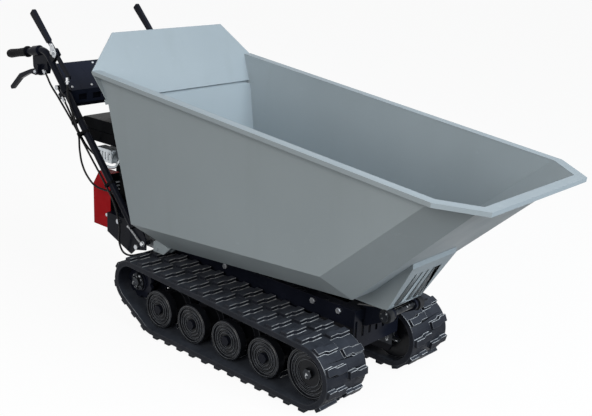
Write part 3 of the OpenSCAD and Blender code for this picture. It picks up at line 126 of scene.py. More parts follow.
class Finish:
    """A material, with short ways to make the nodes behind its colour, roughness and relief.

    The scale of a noise is in lumps per metre, and depths are in metres.
    """

    def __init__(self, name, metallic=0.0, specular=0.5):
        self.material = bpy.data.materials.new(name)
        self.material.use_nodes = True
        self.tree = self.material.node_tree
        self.shader = self.tree.nodes["Principled BSDF"]
        self.shader.inputs["Metallic"].default_value = metallic
        self.shader.inputs["Specular IOR Level"].default_value = specular
        self.coords = self.node("ShaderNodeTexCoord").outputs["Object"]

    def node(self, kind, **settings):
        """A new node with its settings."""
        made = self.tree.nodes.new(kind)
        for key, value in settings.items():
            setattr(made, key, value)
        return made

    def link(self, source, target):
        """Joins an output to an input."""
        self.tree.links.new(source, target)

    def noise(self, scale, detail=4.0, stretch=EVEN):
        """Cloudy noise of 0 to 1."""
        mapping = self.node("ShaderNodeMapping")
        mapping.inputs["Scale"].default_value = stretch
        self.link(self.coords, mapping.inputs["Vector"])
        made = self.node("ShaderNodeTexNoise")
        made.inputs["Scale"].default_value = scale
        made.inputs["Detail"].default_value = detail
        self.link(mapping.outputs["Vector"], made.inputs["Vector"])
        return made.outputs["Fac"]

    def spread(self, value, low, high, start=0.3, end=0.7):
        """The stretch of value from start to end, spread over low to high."""
        made = self.node("ShaderNodeMapRange")
        for socket, number in zip(("From Min", "From Max", "To Min", "To Max"), (start, end, low, high)):
            made.inputs[socket].default_value = number
        self.link(value, made.inputs["Value"])
        return made.outputs["Result"]

    def times(self, first, second):
        """The product of two sockets."""
        made = self.node("ShaderNodeMath", operation="MULTIPLY")
        self.link(first, made.inputs[0])
        self.link(second, made.inputs[1])
        return made.outputs[0]

    def vector(self, operation, first, second=(0, 0, 0)):
        """Vector arithmetic between a socket and three numbers."""
        made = self.node("ShaderNodeVectorMath", operation=operation)
        self.link(first, made.inputs[0])
        made.inputs[1].default_value = second
        return made

    def faces(self, direction, start, end):
        """0 to 1 as a surface turns to a direction, where its dot product with it goes from start to end."""
        normal = self.node("ShaderNodeNewGeometry").outputs["Normal"]
        product = self.vector("DOT_PRODUCT", normal, direction).outputs["Value"]
        return self.spread(product, 0.0, 1.0, start, end)

    def faces_up(self):
        """How far a surface faces up, from 0 to 1."""
        return self.faces((0, 0, 1), start=0.2, end=0.95)

    def from_cross_axis(self, centre):
        """The distance from a line across the object through a point."""
        offset = self.vector("SUBTRACT", self.coords, centre).outputs["Vector"]
        flat = self.vector("MULTIPLY", offset, (1, 0, 1)).outputs["Vector"]
        return self.vector("LENGTH", flat).outputs["Value"]

    def mix(self, factor, first, second):
        """A colour between two, each a colour or a socket."""
        made = self.node("ShaderNodeMix", data_type="RGBA")
        self.link(factor, made.inputs[MIX_FACTOR])
        for index, value in ((MIX_FIRST, first), (MIX_SECOND, second)):
            if isinstance(value, tuple):
                made.inputs[index].default_value = value
            else:
                self.link(value, made.inputs[index])
        return made.outputs[MIX_RESULT]

    def clouds(self, first, second, scale, detail=4.0, stretch=EVEN):
        """A colour that drifts between two."""
        return self.mix(self.spread(self.noise(scale, detail, stretch), 0.0, 1.0), first, second)

    def patches(self, under, over, scale, most, least=0.0, start=0.3, end=0.7, detail=4.0,
                stretch=EVEN, where=None):
        """A colour over another, with a share from least to most as the noise goes from start to end."""
        share = self.spread(self.noise(scale, detail, stretch), least, most, start, end)
        if where is not None:
            share = self.times(where, share)
        return self.mix(share, under, over)

    def colour(self, value):
        """Sets the colour from a socket."""
        self.link(value, self.shader.inputs["Base Color"])

    def roughness(self, scale, low, high, detail=4.0, stretch=EVEN):
        """Sets a roughness that drifts from low to high."""
        self.link(self.spread(self.noise(scale, detail, stretch), low, high), self.shader.inputs["Roughness"])

    def grain(self, scale, depth, strength, detail=2.0, stretch=EVEN):
        """Adds bumps to those made before."""
        bump = self.node("ShaderNodeBump")
        bump.inputs["Distance"].default_value = depth
        bump.inputs["Strength"].default_value = strength
        self.link(self.noise(scale, detail, stretch), bump.inputs["Height"])
        normal = self.shader.inputs["Normal"]
        if normal.is_linked:
            self.link(normal.links[0].from_socket, bump.inputs["Normal"])
        self.link(bump.outputs["Normal"], normal)


HINGE = (0.656, 0, 0.283)
BARREL_RADIUS = 0.0222
BARREL_BLUR = 0.0003
BRUSHED_ALONG_X = (1, 0.06, 0.06)


def bucket_paint(name, shaded_barrels=False):
    """Silver-grey powder coat: fine orange peel, slow clouds in the grey, and faint rub marks; the hinge
    barrels can get painted shade.
    """
    made = Finish(name, specular=0.3)
    grey = made.clouds(srgb(152, 163, 170), srgb(160, 171, 178), scale=2.2)
    grey = made.patches(grey, srgb(143, 153, 158), scale=14, stretch=(1, 1, 0.12), most=0.25,
                        start=0.56, end=0.8)
    grey = made.patches(grey, srgb(170, 181, 187), scale=26, detail=8, stretch=(1, 1, 3), most=0.4,
                        start=0.66, end=0.78)
    # The hinge barrels can be painted near black: painted shade, where they lie in shadow under the nose.
    if shaded_barrels:
        off_hinge = made.from_cross_axis(HINGE)
        barrel = made.spread(off_hinge, 1.0, 0.0, BARREL_RADIUS, BARREL_RADIUS + BARREL_BLUR)
        grey = made.mix(barrel, grey, srgb(20, 22, 26))
    made.colour(grey)
    made.roughness(scale=9, low=0.44, high=0.58)
    made.grain(scale=3, detail=1, depth=0.004, strength=0.08)
    made.grain(scale=520, depth=0.0004, strength=0.12)
    return made.material


def frame_paint():
    """Satin black paint, blue-black in daylight, with a little road dust on what faces up."""
    made = Finish("frame_paint", specular=0.06)
    black = made.clouds(srgb(17, 20, 29), srgb(25, 28, 39), scale=7)
    made.colour(made.patches(black, srgb(52, 56, 64), scale=18, detail=6, most=0.25, start=0.45, end=0.8,
                             where=made.faces_up()))
    made.roughness(scale=22, low=0.18, high=0.30)
    made.grain(scale=430, depth=0.0004, strength=0.12)
    return made.material


def track_rubber():
    """Moulded rubber: blue-grey black and dull, with a rough moulded skin; what faces up is lighter, partly
    dust and partly painted light.
    """
    made = Finish("track_rubber", specular=0.1)
    black = made.clouds(srgb(25, 28, 35), srgb(33, 36, 44), scale=11)
    black = made.patches(black, srgb(54, 57, 64), scale=34, detail=7, most=0.4, start=0.54, end=0.78)
    # What faces up is painted lighter: partly dust, partly painted light from above.
    made.colour(made.patches(black, srgb(74, 79, 88), scale=24, detail=5, least=0.25, most=0.6,
                             where=made.faces_up()))
    made.roughness(scale=40, low=0.42, high=0.62)
    made.grain(scale=60, detail=3, depth=0.0015, strength=0.15)
    made.grain(scale=380, detail=3, depth=0.0006, strength=0.2)
    return made.material


def track_edge():
    """Lug edges, painted pale in patches where they face forward and up, as a painted highlight, and dark
    elsewhere.
    """
    made = Finish("track_edge", specular=0.2)
    # Painted highlight: the edges that face forward and up, towards the key lamp, are pale in patches.
    highlight_mask = made.faces((0.7, 0, 0.7), start=0.84, end=0.95)
    made.colour(made.patches(srgb(40, 43, 50), srgb(206, 210, 215), scale=45, detail=5, least=0.3, most=1.0,
                             where=highlight_mask))
    made.roughness(scale=80, low=0.4, high=0.6)
    made.grain(scale=380, detail=3, depth=0.0006, strength=0.2)
    return made.material


def wheel_edge():
    """Glossy edges of the rollers' rings, painted lighter than the rollers as a painted highlight."""
    made = Finish("wheel_edge", specular=0.5)
    # The rings' edges are painted lighter than the roller: a painted highlight, on top of their real gloss.
    made.colour(made.clouds(srgb(44, 47, 53), srgb(92, 97, 105), scale=30))
    made.roughness(scale=60, low=0.2, high=0.34)
    return made.material


def console_paint():
    """Navy-black satin sheet of the console."""
    made = Finish("console_paint", specular=0.1)
    navy = made.clouds(srgb(25, 30, 45), srgb(33, 39, 56), scale=6)
    made.colour(made.patches(navy, srgb(62, 69, 84), scale=26, detail=6, most=0.3, start=0.5, end=0.8,
                             where=made.faces_up()))
    made.roughness(scale=20, low=0.26, high=0.40)
    made.grain(scale=500, depth=0.0003, strength=0.12)
    return made.material


def dark_steel():
    """Oiled dark steel, rubbed bright in places."""
    made = Finish("dark_steel", metallic=0.9)
    dark = made.clouds(srgb(30, 32, 36), srgb(58, 61, 66), scale=40, detail=5)
    made.colour(made.patches(dark, srgb(190, 194, 198), scale=85, detail=3, most=1.0, start=0.6, end=0.68))
    made.roughness(scale=120, low=0.32, high=0.5)
    made.grain(scale=300, detail=3, depth=0.0004, strength=0.2)
    return made.material


def wheel_plastic():
    """Black moulded rollers with dust caught in their rings."""
    made = Finish("wheel_plastic", specular=0.14)
    black = made.clouds(srgb(15, 17, 21), srgb(24, 26, 31), scale=25)
    made.colour(made.patches(black, srgb(44, 47, 52), scale=60, detail=6, most=0.25, start=0.56, end=0.8))
    made.roughness(scale=30, low=0.28, high=0.44)
    made.grain(scale=300, detail=3, depth=0.0004, strength=0.15)
    return made.material


def soft_rubber():
    """Dull black rubber of grips, pads and sleeves, with a fine stipple."""
    made = Finish("soft_rubber", specular=0.06)
    made.colour(made.clouds(srgb(9, 10, 12), srgb(17, 18, 22), scale=40))
    made.roughness(scale=80, low=0.46, high=0.64)
    made.grain(scale=900, depth=0.0004, strength=0.3)
    return made.material


def zinc_steel():
    """Zinc-plated steel with a cloudy passivation."""
    made = Finish("zinc_steel", metallic=1.0)
    made.colour(made.clouds(srgb(176, 181, 188), srgb(204, 206, 208), scale=55, detail=6))
    made.roughness(scale=120, low=0.30, high=0.48)
    made.grain(scale=500, depth=0.0002, strength=0.2)
    return made.material


def guard_paint():
    """Red enamel, a little faded and scratched; the faces that look forward are near black."""
    made = Finish("guard_paint", specular=0.05)
    red = made.clouds(srgb(164, 14, 24), srgb(182, 20, 29), scale=12)
    red = made.patches(red, srgb(186, 52, 54), scale=60, detail=9, stretch=(1, 1, 0.2), most=0.4,
                       start=0.66, end=0.78)
    # Faces that look forward are painted near black.
    front = made.faces((1, 0, 0), start=0.6, end=0.8)
    made.colour(made.mix(front, red, srgb(14, 15, 18)))
    made.roughness(scale=26, low=0.34, high=0.48)
    made.grain(scale=420, depth=0.0003, strength=0.12)
    return made.material


def engine_plastic():
    """Black engine covers: paint and plastic with a light grain."""
    made = Finish("engine_plastic", specular=0.01)
    black = made.clouds(srgb(10, 11, 14), srgb(18, 20, 24), scale=16)
    made.colour(made.patches(black, srgb(48, 51, 56), scale=45, detail=6, most=0.2, start=0.5, end=0.8,
                             where=made.faces_up()))
    made.roughness(scale=30, low=0.16, high=0.30)
    made.grain(scale=700, depth=0.0003, strength=0.15)
    return made.material


def cast_metal():
    """Sand-cast aluminium, grey and grainy."""
    made = Finish("cast_metal", metallic=0.85)
    made.colour(made.clouds(srgb(102, 106, 112), srgb(142, 146, 151), scale=30, detail=6))
    made.roughness(scale=90, low=0.42, high=0.62)
    made.grain(scale=450, detail=4, depth=0.0007, strength=0.35)
    return made.material


def bright_steel():
    """Brushed bright sheet with heat tint and fine rubbed lines."""
    made = Finish("bright_steel", metallic=1.0)
    brushed = {"scale": 220, "detail": 3, "stretch": BRUSHED_ALONG_X}
    steel = made.clouds(srgb(178, 186, 192), srgb(212, 217, 221), **brushed)
    made.colour(made.patches(steel, srgb(164, 156, 146), scale=8, most=0.4, start=0.5, end=0.8))
    made.roughness(low=0.26, high=0.44, **brushed)
    made.grain(depth=0.0002, strength=0.2, **brushed)
    return made.material


def cable_cover():
    """Smooth black cable housing."""
    made = Finish("cable_cover", specular=0.14)
    made.colour(made.clouds(srgb(10, 11, 13), srgb(19, 20, 24), scale=60))
    made.roughness(scale=90, low=0.32, high=0.46)
    made.grain(scale=600, depth=0.0002, strength=0.15)
    return made.material


FINISHES = {
    "bucket_paint": bucket_paint("bucket_paint"),
    "frame_paint": frame_paint(),
    "track_rubber": track_rubber(),
    "wheel_plastic": wheel_plastic(),
    "soft_rubber": soft_rubber(),
    "zinc_steel": zinc_steel(),
    "guard_paint": guard_paint(),
    "engine_plastic": engine_plastic(),
    "cast_metal": cast_metal(),
    "bright_steel": bright_steel(),
}
CABLE_COVER = cable_cover()
DARK_STEEL = dark_steel()
NODE_FINISHES = {
    "console": console_paint(),
    # The nose's hinge barrels get painted shade.
    "bucket_nose": bucket_paint("nose_paint", shaded_barrels=True),
    "hinge_pin": DARK_STEEL,
    "idler_tensioners": DARK_STEEL,
    "drive_shaft_left": DARK_STEEL,
    "drive_shaft_right": DARK_STEEL,
}
# The edge finishes of tracks and rollers carry painted highlights.
EDGE_FINISHES = {"track_rubber": track_edge(), "wheel_plastic": wheel_edge()}


# Cables, on the routes of the part

CABLE_DIAMETER = 0.007
STEERING_ROUTE = (
    (-994, 240, 808), (-960, 250, 795), (-930, 256, 770), (-880, 258, 730), (-800, 254, 650),
    (-700, 252, 545), (-620, 250, 460), (-575, 248, 400), (-552, 247, 330), (-552, 245, 258),
    (-550, 220, 219), (-546, 150, 206), (-545, 90, 204), (-545, 58.4, 204),
)
TIP_ROUTE = (
    (-843.5, -243.5, 803), (-840, -246, 780), (-832, -252, 755), (-812, -256, 712), (-780, -260, 664),
    (-755, -264, 620), (-750, -264, 560), (-738, -262, 510), (-710, -258, 470), (-675, -254, 448),
    (-645, -244, 440), (-620, -224, 430), (-600, -202, 404), (-594.5, -195, 384), (-590.4, -190.6, 364),
    (-586, -188, 348), (-578.4, -187.5, 339), (-568.2, -187, 333), (-556.6, -186.5, 331), (-530, -186, 331),
    (-497, -186, 331),
)
THROTTLE_ROUTE = (
    (-883, -237.5, 727), (-862, -238, 704), (-840, -232, 665), (-824, -214, 610), (-818, -186, 555),
    (-820, -148, 514), (-822, -108, 490), (-818, -72, 480), (-804, -48, 478), (-781.4, -40, 478),
)
DRIVE_ROUTE = (
    (-843.5, 243.5, 803), (-840, 246, 780), (-832, 252, 755), (-812, 256, 712), (-780, 260, 668),
    (-740, 258, 640), (-715, 234, 620), (-700, 200, 600), (-690, 180, 520), (-660, 170, 420),
    (-642, 165, 372), (-640, 165, 350.4),
)
LEVER_ROUTES = {"tip_lever": TIP_ROUTE, "drive_lever": DRIVE_ROUTE}
CURVE_STEPS = 12
CURVE_ROUNDING = 4


def steering_route(sign):
    """The steering cable's route on one side."""
    return [(x, sign * y, z) for x, y, z in STEERING_ROUTE]


def smooth_curve(name, route, thickness, steps=CURVE_STEPS):
    """A round bar along one smooth line through the points of a route."""
    data = bpy.data.curves.new(name, "CURVE")
    data.dimensions = "3D"
    data.resolution_u = steps
    data.bevel_depth = thickness / 2
    data.bevel_resolution = CURVE_ROUNDING
    data.use_fill_caps = True
    spline = data.splines.new("BEZIER")
    spline.bezier_points.add(len(route) - 1)
    for knot, point in zip(spline.bezier_points, route):
        knot.co = place(*point)
        knot.handle_left_type = "AUTO"
        knot.handle_right_type = "AUTO"
    piece = bpy.data.objects.new(name, data)
    SCENE.collection.objects.link(piece)
    bpy.context.view_layer.update()
    return piece


def curve_line(curve):
    """The points of a curve's own line."""
    knots = curve.data.splines[0].bezier_points
    line = [knots[0].co.copy()]
    for first, second in zip(knots, knots[1:]):
        bend = (first.co, first.handle_right, second.handle_left, second.co)
        line += interpolate_bezier(*bend, CURVE_STEPS + 1)[1:]
    return line


def as_mesh(curve):
    """The same bar as a mesh."""
    name = curve.name
    data = bpy.data.meshes.new_from_object(curve.evaluated_get(bpy.context.evaluated_depsgraph_get()))
    bpy.data.objects.remove(curve)
    piece = bpy.data.objects.new(name, data)
    SCENE.collection.objects.link(piece)
    return piece


def cable(name, route, node, lever=None):
    """A cable along a route, which the object holds from end to end unless it has a lever."""
    curve = smooth_curve(name, route, CABLE_DIAMETER)
    line = curve_line(curve)
    piece = as_mesh(curve)
    if lever:
        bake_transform(piece)
    else:
        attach(piece, "base")
    piece.data.materials.append(CABLE_COVER)
    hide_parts(node)


make_camera()
for side_name, side_sign in SIDES.items():
    cable(f"steering_cable_{side_name}", steering_route(side_sign), "steering_cables")
cable("tip_cable_line", TIP_ROUTE, "tip_cable", "tip_lever")
cable("throttle_cable", THROTTLE_ROUTE, "engine_cables")
cable("drive_cable", DRIVE_ROUTE, "engine_cables", "drive_lever")


# Solids of the part: finish and softened edges

WELD_DISTANCE = 0.00001
FLAT_ANGLE = math.radians(0.5)
EDGE_ANGLE = math.radians(32)
EDGE_STEPS = 2
EDGE_WIDTH = 0.0008
SHADE_WEIGHT = 60
LUG_WELD = 0.001
LUG_EDGE_ANGLE = math.radians(50)
EDGE_WIDTHS = {
    "track_left": 0.0018,
    "track_right": 0.0018,
    "bucket_shell": 0.0012,
    "bucket_back_plate": 0.001,
    "chassis_frame": 0.002,
    "fuel_tank": 0.004,
    "air_filter": 0.003,
    "gearbox": 0.003,
    "crankcase": 0.003,
    "muffler": 0.004,
    "console": 0.001,
}


def soften(piece, width):
    """Rounded edges and even shading, as modifiers on the piece."""
    weld = piece.modifiers.new("weld", "WELD")
    weld.merge_threshold = WELD_DISTANCE
    flat = piece.modifiers.new("flat", "DECIMATE")
    flat.decimate_type = "DISSOLVE"
    flat.angle_limit = FLAT_ANGLE
    edge = piece.modifiers.new("edge", "BEVEL")
    edge.width = width
    edge.segments = EDGE_STEPS
    edge.limit_method = "ANGLE"
    edge.angle_limit = EDGE_ANGLE
    edge.use_clamp_overlap = True
    edge.miter_outer = "MITER_ARC"
    shade = piece.modifiers.new("shade", "WEIGHTED_NORMAL")
    shade.weight = SHADE_WEIGHT
    shade.keep_sharp = True


def even_lug_highlights(track):
    """The same painted highlight on every lug edge, whatever short edges lie beside it."""
    track.modifiers["weld"].merge_threshold = LUG_WELD
    track.modifiers["edge"].angle_limit = LUG_EDGE_ANGLE
    track.modifiers["edge"].use_clamp_overlap = False


def dress_solids():
    """Every solid of the part gets the finish of its slot."""
    for part in frame["record"]["subparts"]:
        solid = NODES[part["node"]]
        for slot in solid.material_slots:
            slot.material = NODE_FINISHES.get(part["node"], FINISHES[part["material_slot"]])
        soften(solid, EDGE_WIDTHS.get(part["node"], EDGE_WIDTH))
        if part["material_slot"] in EDGE_FINISHES:
            solid.data.materials.append(EDGE_FINISHES[part["material_slot"]])
            solid.modifiers["edge"].material = len(solid.data.materials) - 1
        if part["material_slot"] == "track_rubber":
            even_lug_highlights(solid)


dress_solids()


# Small pieces: solids made in code

ROUND_SIDES = 24
HEX_SIDES = 6
PIECE_EDGE = 0.0004

# Radius and height of fasteners, in sizes of their thread
WASHER = ((1.1, 0), (1.1, 0.16), (1.04, 0.2))
HEX_HEAD = ((0.95, 0.2), (0.95, 0.71), (0.779, 0.85))
SCREW_HEAD = ((1, 0), (1, 0.25), (0.84, 0.5), (0.54, 0.58), (0.48, 0.22))


def facing(point, direction):
    """The place at a point whose Z looks along a direction."""
    turn = Vector(direction).normalized().to_track_quat("Z", "Y").to_matrix().to_4x4()
    return Matrix.Translation(point) @ turn


def set_along(point, first, second, third):
    """The place at a point whose X, Y and Z lie along three directions."""
    turn = Matrix((first, second, third)).transposed().to_4x4()
    return Matrix.Translation(point) @ turn


def add_loop(mesh, where, outline, height):
    """Corners of an outline, at a height along the Z of a place."""
    return [mesh.verts.new(where @ (Vector((x, y, height)) * MM)) for x, y in outline]


def join_loops(mesh, loops, closed=False):
    """Faces between loops of the same number of corners, with caps unless the last meets the first."""
    pairs = list(zip(loops, loops[1:]))
    if closed:
        pairs.append((loops[-1], loops[0]))
    for first, second in pairs:
        for index in range(len(first)):
            after = (index + 1) % len(first)
            mesh.faces.new((first[index], first[after], second[after], second[index]))
    if not closed:
        mesh.faces.new(list(reversed(loops[0])))
        mesh.faces.new(loops[-1])


def circle(radius, sides=ROUND_SIDES):
    """Corners of a regular outline."""
    angles = [FULL_TURN * step / sides for step in range(sides)]
    return [(radius * math.cos(angle), radius * math.sin(angle)) for angle in angles]


def turned(mesh, where, outline, size=1, sides=ROUND_SIDES):
    """A turned solid, from radius and height along the Z of its place, both times a size."""
    loops = [add_loop(mesh, where, circle(radius * size, sides), height * size) for radius, height in outline]
    join_loops(mesh, loops)


def plate(mesh, where, outline, thickness):
    """A flat plate across the Z of its place."""
    join_loops(mesh, [add_loop(mesh, where, outline, height) for height in (0, thickness)])


def band(mesh, where, inner, outer, width):
    """A closed band between two outlines with the same number of corners."""
    corners = ((inner, 0), (outer, 0), (outer, width), (inner, width))
    join_loops(mesh, [add_loop(mesh, where, outline, height) for outline, height in corners], closed=True)


def bolt(mesh, where, size):
    """A chamfered hex head on its washer, for a thread of that size."""
    turned(mesh, where, WASHER, size)
    turned(mesh, where, HEX_HEAD, size, HEX_SIDES)


def screw(mesh, where, size):
    """A low domed head with a hollow drive, for a thread of that size."""
    turned(mesh, where, SCREW_HEAD, size)


def finish_piece(name, mesh, slot, body="base"):
    """Makes a solid of the object from what was built, on its body and with its finish."""
    bmesh.ops.recalc_face_normals(mesh, faces=mesh.faces)
    data = bpy.data.meshes.new(name)
    mesh.to_mesh(data)
    mesh.free()
    data.materials.append(FINISHES[slot])
    piece = bpy.data.objects.new(name, data)
    SCENE.collection.objects.link(piece)
    soften(piece, PIECE_EDGE)
    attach(piece, body)


def finish_rod(name, route, thickness, slot, steps=CURVE_STEPS):
    """Makes a bent rod of the object, which stays still."""
    piece = smooth_curve(name, route, thickness, steps)
    piece.data.materials.append(FINISHES[slot])
    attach(piece, "base")


# Places on the handles and the engine

HANDLE_Y = 234.5
TUBE_RADIUS = 12.5
HANDLE_BEND = Vector((-985, 885))
HANDLE_FOOT = Vector((-490, 337))
HANDLE_UP = (HANDLE_BEND - HANDLE_FOOT).normalized()
DOWN_TUBE = Vector((-HANDLE_UP.x, 0, -HANDLE_UP.y))
OFF_TUBE = Vector((HANDLE_UP.y, 0, -HANDLE_UP.x))
TO_LEFT = Vector((0, 1, 0))
UPWARD = Vector((0, 0, 1))
FORWARD = Vector((1, 0, 0))
CRANK = Vector((-705, 0, 456))
BARREL_ANGLE = math.radians(20)
BARREL_OUT = Vector((math.cos(BARREL_ANGLE), 0, math.sin(BARREL_ANGLE)))
BARREL_DOWN = Vector((math.sin(BARREL_ANGLE), 0, -math.cos(BARREL_ANGLE)))


def on_handle(along, y, out):
    """A point down the straight run of the handles from its bend, and out of it to the front."""
    start = Vector((HANDLE_BEND.x, y, HANDLE_BEND.y))
    return place(*(start + DOWN_TUBE * along + OFF_TUBE * out))


def on_barrel(down, y, out):
    """A point at the cylinder, whose axis leaves the crank forward and up."""
    return place(*(CRANK + TO_LEFT * y + BARREL_DOWN * down + BARREL_OUT * out))


def bolt_circle(centre, radius, count):
    """Points round a line across the object, the first half a step up from level."""
    angles = [FULL_TURN * (index + 1 / 2) / count for index in range(count)]
    return [centre + Vector((math.cos(angle), 0, math.sin(angle))) * radius for angle in angles]


# Levers, cable ends and cable clips

PIVOT_ALONG = 40
PIVOT_OUT = 42.5
PIVOT_BOLT = 9
CHEEK_FACE = 8.6
STEER_PIVOT_X = -1036
STEER_PIVOT_Z = 800
STEER_FACE = 14.4
STEER_BOLT = 6
STRAP = ((-34, 5), (-12, -10), (12, -12), (22, -3), (19, 11), (2, 16), (-25, 19))
STRAP_THICKNESS = 2.2
STRAP_SCREW_PLACE = (-24, 11)
STRAP_SCREW = 5
CABLE_BARREL = ((4.0, -3), (5.5, -2), (5.5, 9), (4.9, 10), (4.9, 20), (4.2, 22))
LOCK_NUT = ((7.2, 10), (7.6, 10.6), (7.6, 13.4), (7.2, 14))
CLIP_INSIDE = 0.1
CLIP_OUTSIDE = 1.8
CLIP_WIDTH = 10
STEERING_CLIPS = (4, 6)
TIP_CLIP = 5
DRIVE_CLIP = 4
KNOB_ALONG = 140
KNOB_OUT = -34.5
KNOB_FACE = -234.1
KNOB = ((4, 0), (7.5, 0.6), (9, 3), (9, 7), (7.5, 9), (4, 9.6))


def lever_hardware(side, sign):
    """Plated strap and nut at the upright lever's pivot, and the screw of the steering lever."""
    outward = TO_LEFT * sign
    mesh = bmesh.new()
    pivot = on_handle(PIVOT_ALONG, sign * (HANDLE_Y + CHEEK_FACE), PIVOT_OUT)
    strap = set_along(pivot, DOWN_TUBE, OFF_TUBE, outward)
    plate(mesh, strap, STRAP, STRAP_THICKNESS)
    bolt(mesh, strap @ Matrix.Translation(Vector((0, 0, STRAP_THICKNESS)) * MM), PIVOT_BOLT)
    screw(mesh, strap @ Matrix.Translation(Vector((*STRAP_SCREW_PLACE, STRAP_THICKNESS)) * MM), STRAP_SCREW)
    steer = place(STEER_PIVOT_X, sign * (HANDLE_Y + STEER_FACE), STEER_PIVOT_Z)
    bolt(mesh, facing(steer, outward), STEER_BOLT)
    finish_piece(f"lever_hardware_{side}", mesh, "zinc_steel")


def cable_end(mesh, route):
    """A plated barrel with its lock nut where a cable starts."""
    start = place(*route[0])
    where = facing(start, place(*route[1]) - start)
    turned(mesh, where, CABLE_BARREL)
    turned(mesh, where, LOCK_NUT, sides=HEX_SIDES)


def clip_outline(reach, grow):
    """Outline round the tube and a cable beside it, whose centre is at reach, grown by a thickness."""
    tube = TUBE_RADIUS + grow
    wire = CABLE_DIAMETER / MM / 2 + grow
    outline = []
    for x, y in circle(1, 2 * ROUND_SIDES):
        if reach * x + wire > tube:
            outline.append((reach + wire * x, wire * y))
        else:
            outline.append((tube * x, tube * y))
    return outline


def cable_clip(mesh, point):
    """A band that holds a cable to the handle beside it, at a point of the cable's route."""
    centre_y = math.copysign(HANDLE_Y, point[1])
    from_bend = Vector(point) - Vector((HANDLE_BEND.x, centre_y, HANDLE_BEND.y))
    along = from_bend.dot(DOWN_TUBE)
    reach = from_bend - DOWN_TUBE * along
    sideways = reach.normalized()
    start = on_handle(along - CLIP_WIDTH / 2, centre_y, 0)
    where = set_along(start, sideways, DOWN_TUBE.cross(sideways), DOWN_TUBE)
    inner = clip_outline(reach.length, CLIP_INSIDE)
    outer = clip_outline(reach.length, CLIP_OUTSIDE)
    band(mesh, where, inner, outer, CLIP_WIDTH)


def cable_ends():
    """The ends of the cables: two of them move with their levers."""
    for lever, route in LEVER_ROUTES.items():
        mesh = bmesh.new()
        cable_end(mesh, route)
        finish_piece(f"cable_end_{lever}", mesh, "zinc_steel", lever)
    mesh = bmesh.new()
    for sign in SIDES.values():
        cable_end(mesh, steering_route(sign))
    cable_end(mesh, THROTTLE_ROUTE)
    finish_piece("cable_ends", mesh, "zinc_steel")


def cable_clips():
    """The bands that hold the cables to the handles."""
    mesh = bmesh.new()
    for sign in SIDES.values():
        for index in STEERING_CLIPS:
            cable_clip(mesh, steering_route(sign)[index])
    cable_clip(mesh, TIP_ROUTE[TIP_CLIP])
    cable_clip(mesh, DRIVE_ROUTE[DRIVE_CLIP])
    finish_piece("cable_clips", mesh, "soft_rubber")


def throttle_knob():
    """The knob on the throttle lever."""
    mesh = bmesh.new()
    turned(mesh, facing(on_handle(KNOB_ALONG, KNOB_FACE, KNOB_OUT), -TO_LEFT), KNOB)
    finish_piece("throttle_knob", mesh, "zinc_steel", "throttle_lever")


# Console

CONSOLE_SCREW_PLACES = ((75, 205), (75, 70), (166, 205), (166, 120))
CONSOLE_SCREW = 5
CONSOLE_FACE = 3
LINER_PLACE = (-864.7, 215, 693)
LINER_WIDTH = 430
LINER = (
    (0, 0), (0, 19.5), (-8.5, 19.5), (-8.5, 46), (0, 46), (0, 52),
    (-1.5, 52), (-1.5, 47.5), (-10, 47.5), (-10, 18), (-1.5, 18), (-1.5, 0),
)


def console_screws():
    """The screws that hold the console."""
    mesh = bmesh.new()
    for along, y in CONSOLE_SCREW_PLACES:
        for sign in SIDES.values():
            screw(mesh, facing(on_handle(along, sign * y, CONSOLE_FACE), OFF_TUBE), CONSOLE_SCREW)
    finish_piece("console_screws", mesh, "zinc_steel")


def console_liner():
    """The folded sheet behind the console's windows."""
    mesh = bmesh.new()
    plate(mesh, set_along(place(*LINER_PLACE), FORWARD, UPWARD, -TO_LEFT), LINER, LINER_WIDTH)
    finish_piece("console_liner", mesh, "frame_paint")


# Engine

FOOT_X = 87
FOOT_Y = 55
FOOT_TOP = 362
FOOT_BOLT = 8
COVER_DOWN = 38
COVER_Y = 34
COVER_OUT = 208
COVER_SCREW = 6
SHIELD_FACE = -193.5
SHIELD_SCREW_X = 28
SHIELD_SCREW_Z = 554
SHIELD_SCREW = 5
STARTER_FACE = 118
STARTER_SCREW_RADIUS = 83
STARTER_SCREW_COUNT = 4
STARTER_SCREW = 5
GEAR_CASE = Vector((-434, 0, 162))
GEAR_FACE = 58
GEAR_BOLT_RADIUS = 44
GEAR_BOLT_COUNT = 6
GEAR_BOLT = 7
LOUVRE_PLACE = (-655, -167, 412)
LOUVRE = ((0, 0), (6, 0), (6, 1.5), (1.5, 5), (0, 5))
LOUVRE_COUNT = 4
LOUVRE_PITCH = 13
LOUVRE_WIDTH = 25
STAY_ROUTE = (
    (-741, -186, 523), (-738, -186, 509), (-727, -186, 504), (-700, -186, 503), (-672, -186, 504),
    (-655, -184, 509), (-643, -180, 523), (-638, -173, 543), (-641, -164, 561), (-647, -156, 571),
)
STAY_DIAMETER = 0.010
GRIP_ANGLE = math.radians(50)
GRIP_RADIUS = 91
GRIP_Y = 101
GRIP_NECK = ((9, 0), (9, 3), (6, 5), (5, 12), (7, 16))
GRIP_BAR = ((3, 0), (6, 1), (7.5, 4), (6.5, 16), (7.2, 34), (6.5, 52), (7.5, 64), (6, 67), (3, 68))
GRIP_BAR_HALF = 34
GRIP_BAR_OUT = 17
TANK_MIDDLE = (-761, -18, 611)
TANK_HALF_X = 121
TANK_HALF_Y = 142
TANK_CORNER = 10
SEAM_OUT = 4
SEAM_IN = -6
SEAM_HEIGHT = 3


